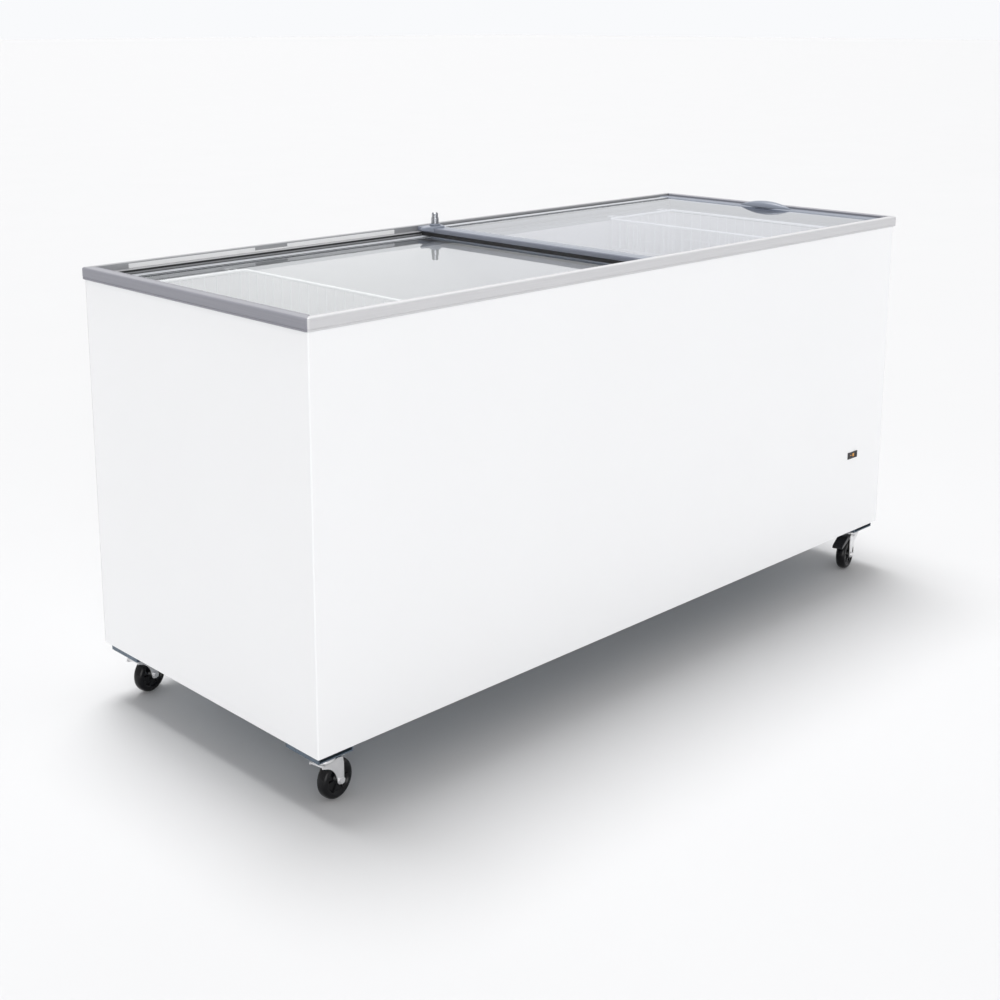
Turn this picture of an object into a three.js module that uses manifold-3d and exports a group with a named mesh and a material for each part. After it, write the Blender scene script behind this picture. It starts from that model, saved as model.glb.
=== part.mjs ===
// Sliding glass lid chest freezer on castors, millimetres, +Z up.
// Origin: middle of the footprint, on the floor.  +X runs along the long front, +Y to the rear.
import * as THREE from 'three';
import { mergeVertices } from 'three/addons/utils/BufferGeometryUtils.js';
import Module from 'manifold-3d';

const wasm = await Module();
wasm.setup();

// ---------------------------------------------------------------- driving dimensions
const WIDTH = 1780;               // over the top frame, left to right
const DEPTH = 700;                // over the top frame, front to rear
const HEIGHT = 880;               // floor to the top of the frame
const CABINET_BOTTOM = 115;       // floor to the underside of the cabinet
const WHEEL_DIAMETER = 75;
const GAP = 0.3;                  // play between pieces that lie against each other
const CLEAR = 5;                  // how far a cutting tool runs past the face it cuts

// cabinet walls
const FASCIA_HEIGHT = 23;         // visible height of the top frame
const FASCIA_OVERHANG = 6;        // frame stands this far outside the cabinet
const WALL = 60;                  // frame outside face to storage space
const SHEET = 1;                  // painted steel skin
const TRAY_SHEET = 2;             // galvanised floor sheet
const LINER_SHEET = 1.5;
const LINER_CORNER = 30;
const FLOOR_FOAM = 60;
const MACHINE_WIDTH = 300;        // machine compartment at the right-hand end
const MACHINE_HEIGHT = 260;

// top frame section, distances inwards from the outside face
const RAIL_BODY = 19;             // frame body hangs this far below its fascia
const LIP = 16;                   // flat top beside the tracks
const UPPER_TRACK = 15;
const LOWER_TRACK = 15;
const END_LIP = 24;               // flat top of the two end rails
const TRACK_STEP = 15;            // height between the two tracks
const UPPER_TRACK_DROP = 12;      // frame top to upper track
const LEDGE_DROP = 34;            // frame top to the inner ledge that carries baskets
const EDGE_RADIUS = 3;

// lids, measured from the left outside face of the frame
const GLASS = 5;
const LID_PLAY = 0.6;
const LID_END_PLAY = 2;
const LOWER_LID_RIGHT = 880;
const UPPER_LID_LEFT = 847;
const UPPER_PROFILE = 47;
const END_PROFILE = 32;
const LOCK_FROM_REAR = 62;
const LOCK_X = 862;
const LOCK_TRAVEL = 10;

// castors
const CASTOR_INSET = 52;          // swivel axis to frame outside faces
const TRAIL = 28;
const WHEEL_WIDTH = 24;
const CASTOR_HEIGHT = 100;        // floor to the underside of the bracket

// derived planes
const LEFT = -WIDTH / 2;
const RIGHT = WIDTH / 2;
const FRONT = -DEPTH / 2;
const REAR = DEPTH / 2;
const TOP = HEIGHT;
const SKIRT = TOP - FASCIA_HEIGHT;
const RAIL_BOTTOM = SKIRT - RAIL_BODY;
const UPPER_LEVEL = TOP - UPPER_TRACK_DROP;
const LOWER_LEVEL = UPPER_LEVEL - TRACK_STEP;
const LEDGE = TOP - LEDGE_DROP;
const CAB_X = WIDTH / 2 - FASCIA_OVERHANG;
const CAB_Y = DEPTH / 2 - FASCIA_OVERHANG;
const STORE_X = WIDTH / 2 - WALL;
const STORE_Y = DEPTH / 2 - WALL;
const STORE_FLOOR = CABINET_BOTTOM + FLOOR_FOAM;
const MACHINE_X = CAB_X - MACHINE_WIDTH;
const MACHINE_TOP = CABINET_BOTTOM + MACHINE_HEIGHT;
const STEP_X = MACHINE_X - WALL;
const STEP_TOP = MACHINE_TOP + WALL;

// ---------------------------------------------------------------- finishes
const finish = (color, roughness, metalness = 0) => ({ color, roughness, metalness });
const WHITE_PAINT = finish(0xf4f5f7, 0.28);
const LINER_WHITE = finish(0xeceef0, 0.35);
const SATIN_ALU = finish(0xc9cac8, 0.38, 0.8);
const GREY_RAIL = finish(0x9b9ca4, 0.45, 0.2);
const SLATE = finish(0x7c8190, 0.45);
const BLACK_PLASTIC = finish(0x141416, 0.5);
const DISPLAY_GLASS = finish(0x0c0a08, 0.1);
const BLACK_WHEEL = finish(0x101011, 0.35);
const GLIDE_WHITE = finish(0xf2f3f3, 0.4);
const GLASS_CLEAR = finish(0xdfe6ec, 0.05);
const ZINC = finish(0xb9bcbf, 0.35, 0.9);
const BLUE_ZINC = finish(0x6d7f8f, 0.45, 0.8);
const CHROME = finish(0xd8dadc, 0.08, 1);
const FOAM = finish(0xe6d9a8, 0.9);
const COPPER = finish(0xb26a3c, 0.3, 1);
const BLACK_PAINT = finish(0x18191b, 0.45, 0.2);
const WIRE_WHITE = finish(0xf1f2f2, 0.4);
const RUBBER = finish(0x1b1b1c, 0.8);

// ---------------------------------------------------------------- shape helpers
function toSolid(geometry) {
  const plain = geometry.clone();
  plain.deleteAttribute('normal');
  plain.deleteAttribute('uv');
  const merged = mergeVertices(plain, 1e-4);
  return new wasm.Manifold(new wasm.Mesh({
    numProp: 3,
    vertProperties: new Float32Array(merged.attributes.position.array),
    triVerts: new Uint32Array(merged.index.array),
  }));
}

function toGeometry(solid) {
  const data = solid.getMesh();
  const geometry = new THREE.BufferGeometry();
  geometry.setAttribute('position', new THREE.BufferAttribute(data.vertProperties, 3));
  geometry.setIndex(new THREE.BufferAttribute(data.triVerts, 1));
  geometry.computeVertexNormals();
  return geometry;
}

function block(x0, x1, y0, y1, z0, z1) {
  const geometry = new THREE.BoxGeometry(x1 - x0, y1 - y0, z1 - z0);
  return geometry.translate((x0 + x1) / 2, (y0 + y1) / 2, (z0 + z1) / 2);
}

function rod(radius, z0, z1, x = 0, y = 0, sides = 20, topRadius = radius) {
  const geometry = new THREE.CylinderGeometry(topRadius, radius, z1 - z0, sides);
  return geometry.rotateX(Math.PI / 2).translate(x, y, (z0 + z1) / 2);
}

// Outline in the X-Z plane, swept along Y from y0 to y1.
function sweepY(outline, y0, y1, curveSegments = 8) {
  const shape = outline instanceof THREE.Shape ? outline : outlineShape(outline);
  const geometry = new THREE.ExtrudeGeometry(shape, { depth: y1 - y0, bevelEnabled: false, curveSegments });
  return geometry.rotateX(Math.PI / 2).translate(0, y1, 0);
}

// Outline in the X-Y plane, raised along Z from z0 to z1.
function raise(outline, z0, z1, curveSegments = 8) {
  const shape = outline instanceof THREE.Shape ? outline : outlineShape(outline);
  const geometry = new THREE.ExtrudeGeometry(shape, { depth: z1 - z0, bevelEnabled: false, curveSegments });
  return geometry.translate(0, 0, z0);
}

function outlineShape(points) {
  return new THREE.Shape(points.map(([a, b]) => new THREE.Vector2(a, b)));
}

function capsuleShape(x0, x1, y, r0, r1) {
  const shape = new THREE.Shape();
  shape.absarc(x1, y, r1, -Math.PI / 2, Math.PI / 2, false);
  shape.absarc(x0, y, r0, Math.PI / 2, Math.PI * 1.5, false);
  return shape;
}

function union(...geometries) {
  return geometries.map(toSolid).reduce((whole, next) => whole.add(next));
}

function cut(geometry, ...tools) {
  const body = geometry instanceof THREE.BufferGeometry ? toSolid(geometry) : geometry;
  return tools.map(toSolid).reduce((whole, next) => whole.subtract(next), body);
}

const freezer = new THREE.Group();

function add(name, shape, look, parent = freezer) {
  const geometry = shape instanceof THREE.BufferGeometry ? shape : toGeometry(shape);
  const mesh = new THREE.Mesh(geometry, new THREE.MeshStandardMaterial(look));
  mesh.name = name;
  parent.add(mesh);
  return mesh;
}

// ---------------------------------------------------------------- cabinet shell
function slots(count, make) {
  return Array.from({ length: count }, (_, i) => make(i));
}

function buildPanels() {
  const z0 = CABINET_BOTTOM;
  const z1 = SKIRT;
  const hole = DISPLAY.opening;
  const window = block(hole.x0, hole.x1, FRONT, FRONT + 20, hole.z0, hole.z1);
  add('front_panel', cut(block(-CAB_X, CAB_X, -CAB_Y, -CAB_Y + SHEET, z0, z1), window), WHITE_PAINT);
  const side = [-CAB_Y + SHEET, CAB_Y - SHEET, z0, z1];
  add('left_side_panel', block(-CAB_X, -CAB_X + SHEET, ...side), WHITE_PAINT);
  const louvres = slots(12, (i) => {
    const z = z0 + 32 + i * 18;
    return block(CAB_X - 5, CAB_X + 5, CONDENSER.y0, CONDENSER.y1, z, z + 7);
  });
  add('right_side_panel', cut(block(CAB_X - SHEET, CAB_X, ...side), ...louvres), WHITE_PAINT);
  const vents = slots(9, (i) => {
    const x = MACHINE_X + 40 + i * 22;
    return block(x, x + 8, CAB_Y - 5, CAB_Y + 5, z0 + 110, z0 + 230);
  });
  const glandHole = rod(GLAND.radius + GAP, -20, 20).rotateX(Math.PI / 2).translate(GLAND.x, CAB_Y, GLAND.z);
  const back = block(-CAB_X, CAB_X, CAB_Y - SHEET, CAB_Y, z0, z1);
  add('rear_panel', cut(back, ...vents, glandHole), WHITE_PAINT);
}

function roundedRectangle(x, y, radius) {
  const shape = new THREE.Shape();
  shape.absarc(x - radius, y - radius, radius, 0, Math.PI / 2, false);
  shape.absarc(-x + radius, y - radius, radius, Math.PI / 2, Math.PI, false);
  shape.absarc(-x + radius, -y + radius, radius, Math.PI, Math.PI * 1.5, false);
  shape.absarc(x - radius, -y + radius, radius, Math.PI * 1.5, Math.PI * 2, false);
  return shape;
}

// Storage space with a step over the machine compartment, grown outwards by a sheet thickness.
function storageBlock(grow, top) {
  const plan = roundedRectangle(STORE_X + grow, STORE_Y + grow, LINER_CORNER + grow);
  const room = raise(plan, STORE_FLOOR - grow, top, 5);
  const step = block(STEP_X + grow, WIDTH, -DEPTH, DEPTH, 0, STEP_TOP - grow);
  return cut(room, step);
}

// Foam body: square-cornered room for the liner, with a relief for the coil.
function foamSolid() {
  const outer = block(-CAB_X + SHEET, CAB_X - SHEET, -CAB_Y + SHEET, CAB_Y - SHEET,
    CABINET_BOTTOM + TRAY_SHEET, RAIL_BOTTOM);
  const machineRoom = block(MACHINE_X, WIDTH, -DEPTH, DEPTH, 0, MACHINE_TOP);
  const x = STORE_X + LINER_SHEET;
  const y = STORE_Y + LINER_SHEET;
  const low = block(-x, STEP_X + LINER_SHEET, -y, y, STORE_FLOOR - LINER_SHEET, TOP);
  const overStep = block(0, x, -y, y, STEP_TOP - LINER_SHEET, TOP);
  const reliefX = COIL.x + COIL.radius + COIL.play;
  const reliefY = COIL.y + COIL.radius + COIL.play;
  const relief = block(-reliefX, reliefX, -reliefY, reliefY,
    COIL.z0 - COIL.footroom, COIL.z1 + COIL.footroom);
  return cut(outer, machineRoom, low, overStep, relief);
}

function buildInsulation() {
  const drainHole = (radius) => rod(radius, CABINET_BOTTOM - 20, STORE_FLOOR + 20, DRAIN.x, DRAIN.y, 16);
  const tray = block(-CAB_X + SHEET, CAB_X - SHEET, -CAB_Y + SHEET, CAB_Y - SHEET,
    CABINET_BOTTOM, CABINET_BOTTOM + TRAY_SHEET);
  const airSlots = slots(7, (i) => {
    const x = MACHINE_X + 50 + i * 30;
    return block(x, x + 10, -190, 40, CABINET_BOTTOM - 5, CABINET_BOTTOM + 5);
  });
  add('base_tray', cut(tray, drainHole(DRAIN.pipe + GAP), ...airSlots), BLUE_ZINC);

  add('foam_insulation', foamSolid().subtract(toSolid(drainHole(DRAIN.pipe + GAP))), FOAM);

  const liner = storageBlock(LINER_SHEET, RAIL_BOTTOM)
    .subtract(storageBlock(0, TOP))
    .subtract(toSolid(drainHole(DRAIN.pipe + GAP)));
  add('inner_liner', liner, LINER_WHITE);
}

// ---------------------------------------------------------------- evaporator and drain
const COIL = {
  radius: 4, turns: 5, z0: 500, z1: 780, corner: 36, play: 1, footroom: 10,
  x: STORE_X + LINER_SHEET + 4.6, y: STORE_Y + LINER_SHEET + 4.6,
};

// Rectangular spiral of tube, wound round the outside of the liner.
function buildEvaporator() {
  const perTurn = 4;
  const points = [];
  for (let i = 0; i <= COIL.turns * perTurn; i += 1) {
    const z = THREE.MathUtils.lerp(COIL.z0, COIL.z1, i / (COIL.turns * perTurn));
    const sx = i % 4 === 0 || i % 4 === 3 ? -1 : 1;
    const sy = i % 4 < 2 ? 1 : -1;
    points.push(new THREE.Vector3(sx * COIL.x, sy * COIL.y, z));
  }
  add('evaporator_coil', tubeThrough(points, COIL.radius, COIL.corner, 6), COPPER);
}

// Tube of round section along straight runs joined by rounded corners.
function tubeThrough(points, radius, corner, sides, cornerSteps = 3) {
  const route = [points[0]];
  for (let i = 1; i < points.length - 1; i += 1) {
    const before = points[i - 1].clone().sub(points[i]).setLength(corner).add(points[i]);
    const after = points[i + 1].clone().sub(points[i]).setLength(corner).add(points[i]);
    const bend = new THREE.QuadraticBezierCurve3(before, points[i], after);
    route.push(...bend.getPoints(cornerSteps));
  }
  route.push(points[points.length - 1]);
  const path = new PolylinePath(route);
  const section = new THREE.Shape().absarc(0, 0, radius, 0, Math.PI * 2, false);
  return new THREE.ExtrudeGeometry(section, {
    steps: route.length - 1, extrudePath: path, bevelEnabled: false, curveSegments: sides / 2,
  });
}

// A path whose even steps fall on the given points.
class PolylinePath extends THREE.Curve {
  constructor(points) {
    super();
    this.points = points;
  }

  getPoint(t) {
    const last = this.points.length - 1;
    const i = Math.min(Math.floor(t * last + 1e-9), last - 1);
    return this.points[i].clone().lerp(this.points[i + 1], t * last - i);
  }

  getPointAt(t) {
    return this.getPoint(t);
  }

  getTangentAt(t) {
    const step = 0.5 / (this.points.length - 1);
    const ahead = this.getPoint(Math.min(t + step, 1));
    return ahead.sub(this.getPoint(Math.max(t - step, 0))).normalize();
  }
}

const DRAIN = { x: -760, y: -220, pipe: 14, bore: 10 };

function buildDrain() {
  const pipe = cut(
    rod(DRAIN.pipe, CABINET_BOTTOM - 8, STORE_FLOOR, DRAIN.x, DRAIN.y, 16),
    rod(DRAIN.bore, CABINET_BOTTOM - 20, STORE_FLOOR + 20, DRAIN.x, DRAIN.y, 16),
  );
  add('drain_pipe', pipe, GLIDE_WHITE);
  const plug = union(
    rod(18, STORE_FLOOR + GAP, STORE_FLOOR + 6, DRAIN.x, DRAIN.y, 16, 16),
    rod(DRAIN.bore - GAP, STORE_FLOOR - 20, STORE_FLOOR + 3, DRAIN.x, DRAIN.y, 16),
  );
  add('drain_plug', plug, RUBBER);
}

// ---------------------------------------------------------------- top frame
function roundedTopEdge() {
  return slots(4, (i) => {
    const angle = (Math.PI / 2) * (i / 3);
    return [EDGE_RADIUS * (1 - Math.cos(angle)), TOP - EDGE_RADIUS * (1 - Math.sin(angle))];
  });
}

function trackSection() {
  const innerLip = LIP + UPPER_TRACK + LOWER_TRACK;
  return [
    [0, SKIRT], ...roundedTopEdge(),
    [LIP - 1, TOP], [LIP, TOP - 1], [LIP, UPPER_LEVEL],
    [LIP + UPPER_TRACK, UPPER_LEVEL], [LIP + UPPER_TRACK, LOWER_LEVEL],
    [innerLip, LOWER_LEVEL], [innerLip, LEDGE], [WALL, LEDGE],
    ...railFoot(),
  ];
}

function endSection() {
  return [
    [0, SKIRT], ...roundedTopEdge(),
    [END_LIP - 1, TOP], [END_LIP, TOP - 1], [END_LIP, LEDGE], [WALL, LEDGE],
    ...railFoot(),
  ];
}

function railFoot() {
  const inside = FASCIA_OVERHANG + SHEET + 0.2;
  return [[WALL, RAIL_BOTTOM], [inside, RAIL_BOTTOM], [inside, SKIRT]];
}

// Rail whose outside face lies on y = 0 facing -Y, with 45 degree mitres at both ends.
function mitredRail(section, length) {
  const shape = outlineShape(section);
  const geometry = new THREE.ExtrudeGeometry(shape, { depth: 1, bevelEnabled: false });
  const place = geometry.attributes.position;
  for (let i = 0; i < place.count; i += 1) {
    const inward = place.getX(i);
    const height = place.getY(i);
    const end = length / 2 - inward - GAP / 2;
    place.setXYZ(i, place.getZ(i) > 0.5 ? end : -end, inward, height);
  }
  return geometry;
}

function buildFrame() {
  const sections = [
    ['frame_rail_front', trackSection(), WIDTH, 0, SATIN_ALU],
    ['frame_rail_rear', trackSection(), WIDTH, 180, SATIN_ALU],
    ['frame_rail_left', endSection(), DEPTH, -90, GREY_RAIL],
    ['frame_rail_right', endSection(), DEPTH, 90, GREY_RAIL],
  ];
  sections.forEach(([name, section, length, turn, look]) => {
    const away = length === WIDTH ? DEPTH / 2 : WIDTH / 2;
    const geometry = mitredRail(section, length).translate(0, -away, 0);
    add(name, toSolid(geometry.rotateZ(THREE.MathUtils.degToRad(turn))), look);
  });
}

// White strip against the wall of the upper track: two tall stretches joined by a low one.
function buildGlideStrips() {
  const strip = { start: 94, tall: 300, pause: 84, thickness: 1.6, height: 9, low: 3 };
  const x0 = LEFT + strip.start;
  const pauseStart = x0 + strip.tall;
  const x1 = pauseStart + strip.pause + strip.tall;
  const z0 = UPPER_LEVEL + GAP;
  [['front_glide_strip', -1], ['rear_glide_strip', 1]].forEach(([name, side]) => {
    const wall = side * (DEPTH / 2 - LIP - GAP);
    const face = wall - side * strip.thickness;
    const [y0, y1] = [Math.min(wall, face), Math.max(wall, face)];
    const whole = block(x0, x1, y0, y1, z0, z0 + strip.height);
    const pause = block(pauseStart, pauseStart + strip.pause, y0 - 1, y1 + 1, z0 + strip.low, TOP + 5);
    add(name, cut(whole, pause), GLIDE_WHITE);
  });
}

// ---------------------------------------------------------------- lids
const LOWER_Y = DEPTH / 2 - LIP - UPPER_TRACK - LID_END_PLAY;
const UPPER_Y = DEPTH / 2 - LIP - LID_END_PLAY - 1;
const LOWER_Z = LOWER_LEVEL + LID_PLAY;
const UPPER_Z = UPPER_LEVEL + LID_PLAY;
const SEAL_LIFT = 2;              // lower glass to wiper seal and to the raised lock bolt
const GRIP = { length: 130, width: 22, depth: 4 };
const BOSS = { rise: 4, reach: 34, tip: 10, radius: 19 };
const HANDLE = { length: 156, width: 34, rise: 15 };
const LOCK = {
  x: LEFT + LOCK_X, y: REAR - LOCK_FROM_REAR,
  bolt: 4, barrel: 8.5, collar: 12.5, plunger: 7.2, plug: 4.5, play: 0.3, boltPlay: 0.6,
  barrelRise: 18, rise: 29, plugDepth: 12,
};

function buildLowerLid() {
  const lid = new THREE.Group();
  freezer.add(lid);
  const start = LEFT + END_LIP + LID_END_PLAY;
  const end = LEFT + LOWER_LID_RIGHT;
  const profileTop = LOWER_Z + GLASS + 1;
  const bar = block(start, start + END_PROFILE, -LOWER_Y, LOWER_Y, LOWER_Z, profileTop);
  const grip = raise(almond(GRIP.length, GRIP.width), profileTop - GRIP.depth, profileTop + CLEAR);
  grip.translate(start + END_PROFILE / 2, 0, 0);
  add('lower_lid_left_profile', cut(bar, grip), SLATE, lid);
  const glassStart = start + END_PROFILE + GAP;
  const glassEnd = end - END_PROFILE - GAP;
  const glass = block(glassStart, glassEnd, -LOWER_Y, LOWER_Y, LOWER_Z, LOWER_Z + GLASS);
  add('lower_lid_glass', glass, GLASS_CLEAR, lid);
  const keeper = block(end - END_PROFILE, end, -LOWER_Y, LOWER_Y, LOWER_Z, profileTop);
  const boltHole = rod(LOCK.bolt + 1.5, LOWER_Z - CLEAR, profileTop + CLEAR, LOCK.x, LOCK.y, 16);
  add('lower_lid_right_profile', cut(keeper, boltHole), SLATE, lid);
}

// Pointed oval, longer along Y, centred on the origin.
function almond(length, width) {
  const shape = new THREE.Shape();
  shape.moveTo(0, -length / 2);
  shape.quadraticCurveTo(width, 0, 0, length / 2);
  shape.quadraticCurveTo(-width, 0, 0, -length / 2);
  return shape;
}

function buildUpperLid() {
  const lid = new THREE.Group();
  freezer.add(lid);
  const start = LEFT + UPPER_LID_LEFT;
  const end = RIGHT - END_LIP - LID_END_PLAY;
  const profileTop = TOP - 1;
  const bossTop = TOP + BOSS.rise;
  const bar = block(start, start + UPPER_PROFILE, -UPPER_Y, UPPER_Y, UPPER_Z, profileTop);
  const bossPlan = capsuleShape(LOCK.x - BOSS.reach, LOCK.x + 4, LOCK.y, BOSS.tip, BOSS.radius);
  const boss = raise(bossPlan, UPPER_Z, bossTop);
  const boltHole = rod(LOCK.bolt + LOCK.boltPlay, UPPER_Z - CLEAR, bossTop + CLEAR, LOCK.x, LOCK.y, 16);
  add('upper_lid_left_profile', union(bar, boss).subtract(toSolid(boltHole)), SLATE, lid);
  const sealFoot = LOWER_Z + GLASS + SEAL_LIFT;
  const seal = block(start + 1, start + 7, -LOWER_Y, LOWER_Y, sealFoot, UPPER_Z - GAP);
  add('upper_lid_wiper_seal', seal, RUBBER, lid);
  const glassStart = start + UPPER_PROFILE + GAP;
  const glassEnd = end - END_PROFILE - GAP;
  const glass = block(glassStart, glassEnd, -UPPER_Y, UPPER_Y, UPPER_Z, UPPER_Z + GLASS);
  add('upper_lid_glass', glass, GLASS_CLEAR, lid);
  const endTop = UPPER_Z + GLASS + 2;
  const endBar = block(end - END_PROFILE, end, -UPPER_Y, UPPER_Y, UPPER_Z, endTop);
  add('upper_lid_right_profile', endBar, SLATE, lid);
  const handle = handleSolid(endTop + GAP).translate([end - END_PROFILE / 2, 0, 0]);
  add('upper_lid_handle', handle, SLATE, lid);
  buildLock(lid, bossTop);
}

// Low arch, pointed at both ends, that a hand pushes against.
function handleSolid(z0) {
  const { length, width, rise } = HANDLE;
  const arch = new THREE.Shape();
  arch.moveTo(-length / 2, 0);
  arch.quadraticCurveTo(0, rise * 2, length / 2, 0);
  arch.lineTo(-length / 2, 0);
  const wall = new THREE.ExtrudeGeometry(arch, { depth: width, bevelEnabled: false, curveSegments: 12 });
  wall.translate(0, 0, -width / 2).rotateX(Math.PI / 2).rotateZ(Math.PI / 2).translate(0, 0, z0);
  const plan = raise(almond(length, width), z0 - 1, z0 + rise + 1, 12);
  return toSolid(wall).intersect(toSolid(plan));
}

// Fixed barrel on the boss, a plunger that carries the bolt, and a key plug inside the plunger.
function buildLock(lid, base) {
  const pin = (radius, z0, z1, sides, topRadius) => rod(radius, z0, z1, LOCK.x, LOCK.y, sides, topRadius);
  const barrelTop = base + LOCK.barrelRise;
  const top = base + LOCK.rise;
  const headFoot = base + LOCK_TRAVEL + 2;
  const barrel = cut(
    union(pin(LOCK.collar, base + GAP, base + 4, 24), pin(LOCK.barrel, base + GAP, barrelTop, 24)),
    pin(LOCK.plunger + LOCK.play, headFoot - LOCK_TRAVEL - 2, barrelTop + CLEAR, 24),
    pin(LOCK.bolt + LOCK.boltPlay, base - CLEAR, barrelTop, 16),
  );
  add('lock_barrel', barrel, CHROME, lid);
  const plunger = cut(
    union(
      pin(LOCK.plunger, headFoot, top, 24, LOCK.plunger - 0.4),
      pin(LOCK.bolt, LOWER_Z + GLASS + SEAL_LIFT, headFoot + 2, 16),
    ),
    pin(LOCK.plug + LOCK.play, top - LOCK.plugDepth, top + CLEAR, 20),
  );
  add('lock_plunger', plunger, CHROME, lid);
  const keyway = block(LOCK.x - 0.8, LOCK.x + 0.8, LOCK.y - 3.2, LOCK.y + 3.2, top - 6, top + CLEAR);
  const plug = pin(LOCK.plug, top - LOCK.plugDepth + LOCK.play, top + 0.5, 20);
  add('lock_key_plug', cut(plug, keyway), CHROME, lid);
}

// ---------------------------------------------------------------- display
const DISPLAY = {
  x: LEFT + 1645, z: CABINET_BOTTOM + 197.5, halfWidth: 20, halfHeight: 8, rim: 3, flange: 1.5, depth: 45,
};
DISPLAY.opening = {
  x0: DISPLAY.x - DISPLAY.halfWidth + DISPLAY.rim,
  x1: DISPLAY.x + DISPLAY.halfWidth - DISPLAY.rim,
  z0: DISPLAY.z - DISPLAY.halfHeight + DISPLAY.rim - 1,
  z1: DISPLAY.z + DISPLAY.halfHeight - DISPLAY.rim + 1,
};

// Controller with a flange on the front panel, a body through its window and a recessed lens.
function buildDisplay() {
  const { x, z, halfWidth, halfHeight, flange, depth, opening } = DISPLAY;
  const face = -CAB_Y;
  const rim = block(x - halfWidth, x + halfWidth, face - flange, face, z - halfHeight, z + halfHeight);
  const body = block(opening.x0 + GAP, opening.x1 - GAP, face - 1, face + depth,
    opening.z0 + GAP, opening.z1 - GAP);
  const recess = block(opening.x0 + 2, opening.x1 - 2, face - CLEAR, face - 0.8,
    opening.z0 + 1, opening.z1 - 1);
  add('controller_body', union(rim, body).subtract(toSolid(recess)), BLACK_PLASTIC);
  const lens = block(opening.x0 + 2.2, opening.x1 - 2.2, face - 1.7, face - 1,
    opening.z0 + 1.2, opening.z1 - 1.2);
  add('display_lens', lens, DISPLAY_GLASS);
}

// ---------------------------------------------------------------- machine compartment
const CONDENSER = { x0: 812, x1: 866, y0: -250, y1: 0, z0: 135, z1: 355 };
const FAN = { y: -125, z: 245, radius: 88, motor: 34 };
const COMPRESSOR = { x: 690, y: 190, radius: 76 };
const GLAND = { x: 735, z: CABINET_BOTTOM + 40, radius: 10 };

function alongX(geometry, x, y, z) {
  return geometry.rotateY(Math.PI / 2).translate(x, y, z);
}

function buildCondenser() {
  const { x0, x1, y0, y1, z0, z1 } = CONDENSER;
  const floor = CABINET_BOTTOM + TRAY_SHEET;
  const grooves = slots(9, (i) => {
    const y = y0 + 20 + i * 25;
    return block(x0 + 10, x1 + 5, y, y + 12, z0 + 10, z1 - 10);
  });
  const core = cut(block(x0, x1, y0, y1, z0, z1), ...grooves);
  const feet = [y0, y1 - 20].map((y) => block(x0 + 5, x1 - 5, y, y + 20, floor, z0 + 1));
  add('condenser', feet.map(toSolid).reduce((a, b) => a.add(b), core), BLACK_PAINT);
}

function buildFan() {
  const { y0, y1, z0, z1, x0 } = CONDENSER;
  const face = x0 - GAP;
  const plate = block(face - 3, face, y0, y1, z0, z1);
  const collar = alongX(rod(FAN.radius + 7, 0, 26, 0, 0, 32), face - 28, FAN.y, FAN.z);
  const bore = alongX(rod(FAN.radius + 4, -40, 20, 0, 0, 32), face, FAN.y, FAN.z);
  add('fan_shroud', union(plate, collar).subtract(toSolid(bore)), BLACK_PAINT);

  const hubStart = face - 24;
  const hub = alongX(rod(24, 0, 18, 0, 0, 20), hubStart, 0, 0);
  const blades = slots(5, (i) => {
    const blade = block(-1.2, 1.2, -17, 17, 20, FAN.radius).rotateZ(THREE.MathUtils.degToRad(24));
    return blade.translate(hubStart + 9, 0, 0).rotateX((i / 5) * Math.PI * 2);
  });
  const shaftHole = alongX(rod(4.4, -5, 40, 0, 0, 12), hubStart, 0, 0);
  const rotor = union(hub, ...blades).subtract(toSolid(shaftHole)).translate([0, FAN.y, FAN.z]);
  add('fan_rotor', rotor, BLACK_PLASTIC);

  const motorEnd = hubStart - 6;
  const floor = CABINET_BOTTOM + TRAY_SHEET;
  const body = alongX(rod(FAN.motor, 0, 55, 0, 0, 24), motorEnd - 55, FAN.y, FAN.z);
  const shaft = alongX(rod(4, 0, 22, 0, 0, 12), motorEnd - 2, FAN.y, FAN.z);
  const backPlate = motorEnd - 54;
  const post = block(backPlate - 3, backPlate, FAN.y - 25, FAN.y + 25, floor, FAN.z + 30);
  const foot = block(backPlate - 40, backPlate - 2, FAN.y - 25, FAN.y + 25, floor, floor + 3);
  add('fan_motor', union(body, shaft, post, foot), BLACK_PAINT);
}

function buildCompressor() {
  const floor = CABINET_BOTTOM + TRAY_SHEET;
  const { x, y, radius } = COMPRESSOR;
  const corners = [[-70, -50], [70, -50], [-70, 50], [70, 50]];
  const feet = corners.map(([dx, dy]) => rod(13, floor, floor + 14, x + dx, y + dy, 12));
  const plate = block(x - 88, x + 88, y - 66, y + 66, floor + 12, floor + 16);
  add('compressor_mount', union(plate, ...feet), BLACK_PAINT);
  const profile = [
    [0, 0], [50, 0], [radius - 8, 10], [radius, 30], [radius, 78], [radius + 4, 80],
    [radius + 4, 86], [radius, 88], [radius - 2, 130], [radius - 22, 160], [35, 170], [0, 172],
  ];
  const lathe = new THREE.LatheGeometry(profile.map(([r, h]) => new THREE.Vector2(r, h)), 24);
  const can = toSolid(lathe.rotateX(Math.PI / 2).translate(x, y, floor + 16 + GAP));
  const terminals = toSolid(block(x + radius - 12, x + radius + 18, y - 24, y + 24, floor + 60, floor + 112));
  add('compressor', can.add(terminals), BLACK_PAINT);
}

function buildGland() {
  const nut = rod(15, 0, 5, 0, 0, 6);
  const inside = rod(GLAND.radius, -18, 4, 0, 0, 16);
  const bore = rod(4.5, -30, 30, 0, 0, 12);
  const gland = union(nut, inside).subtract(toSolid(bore)).rotate([-90, 0, 0]);
  add('cable_gland', gland.translate([GLAND.x, CAB_Y + GAP, GLAND.z]), BLACK_PLASTIC);
}

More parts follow.
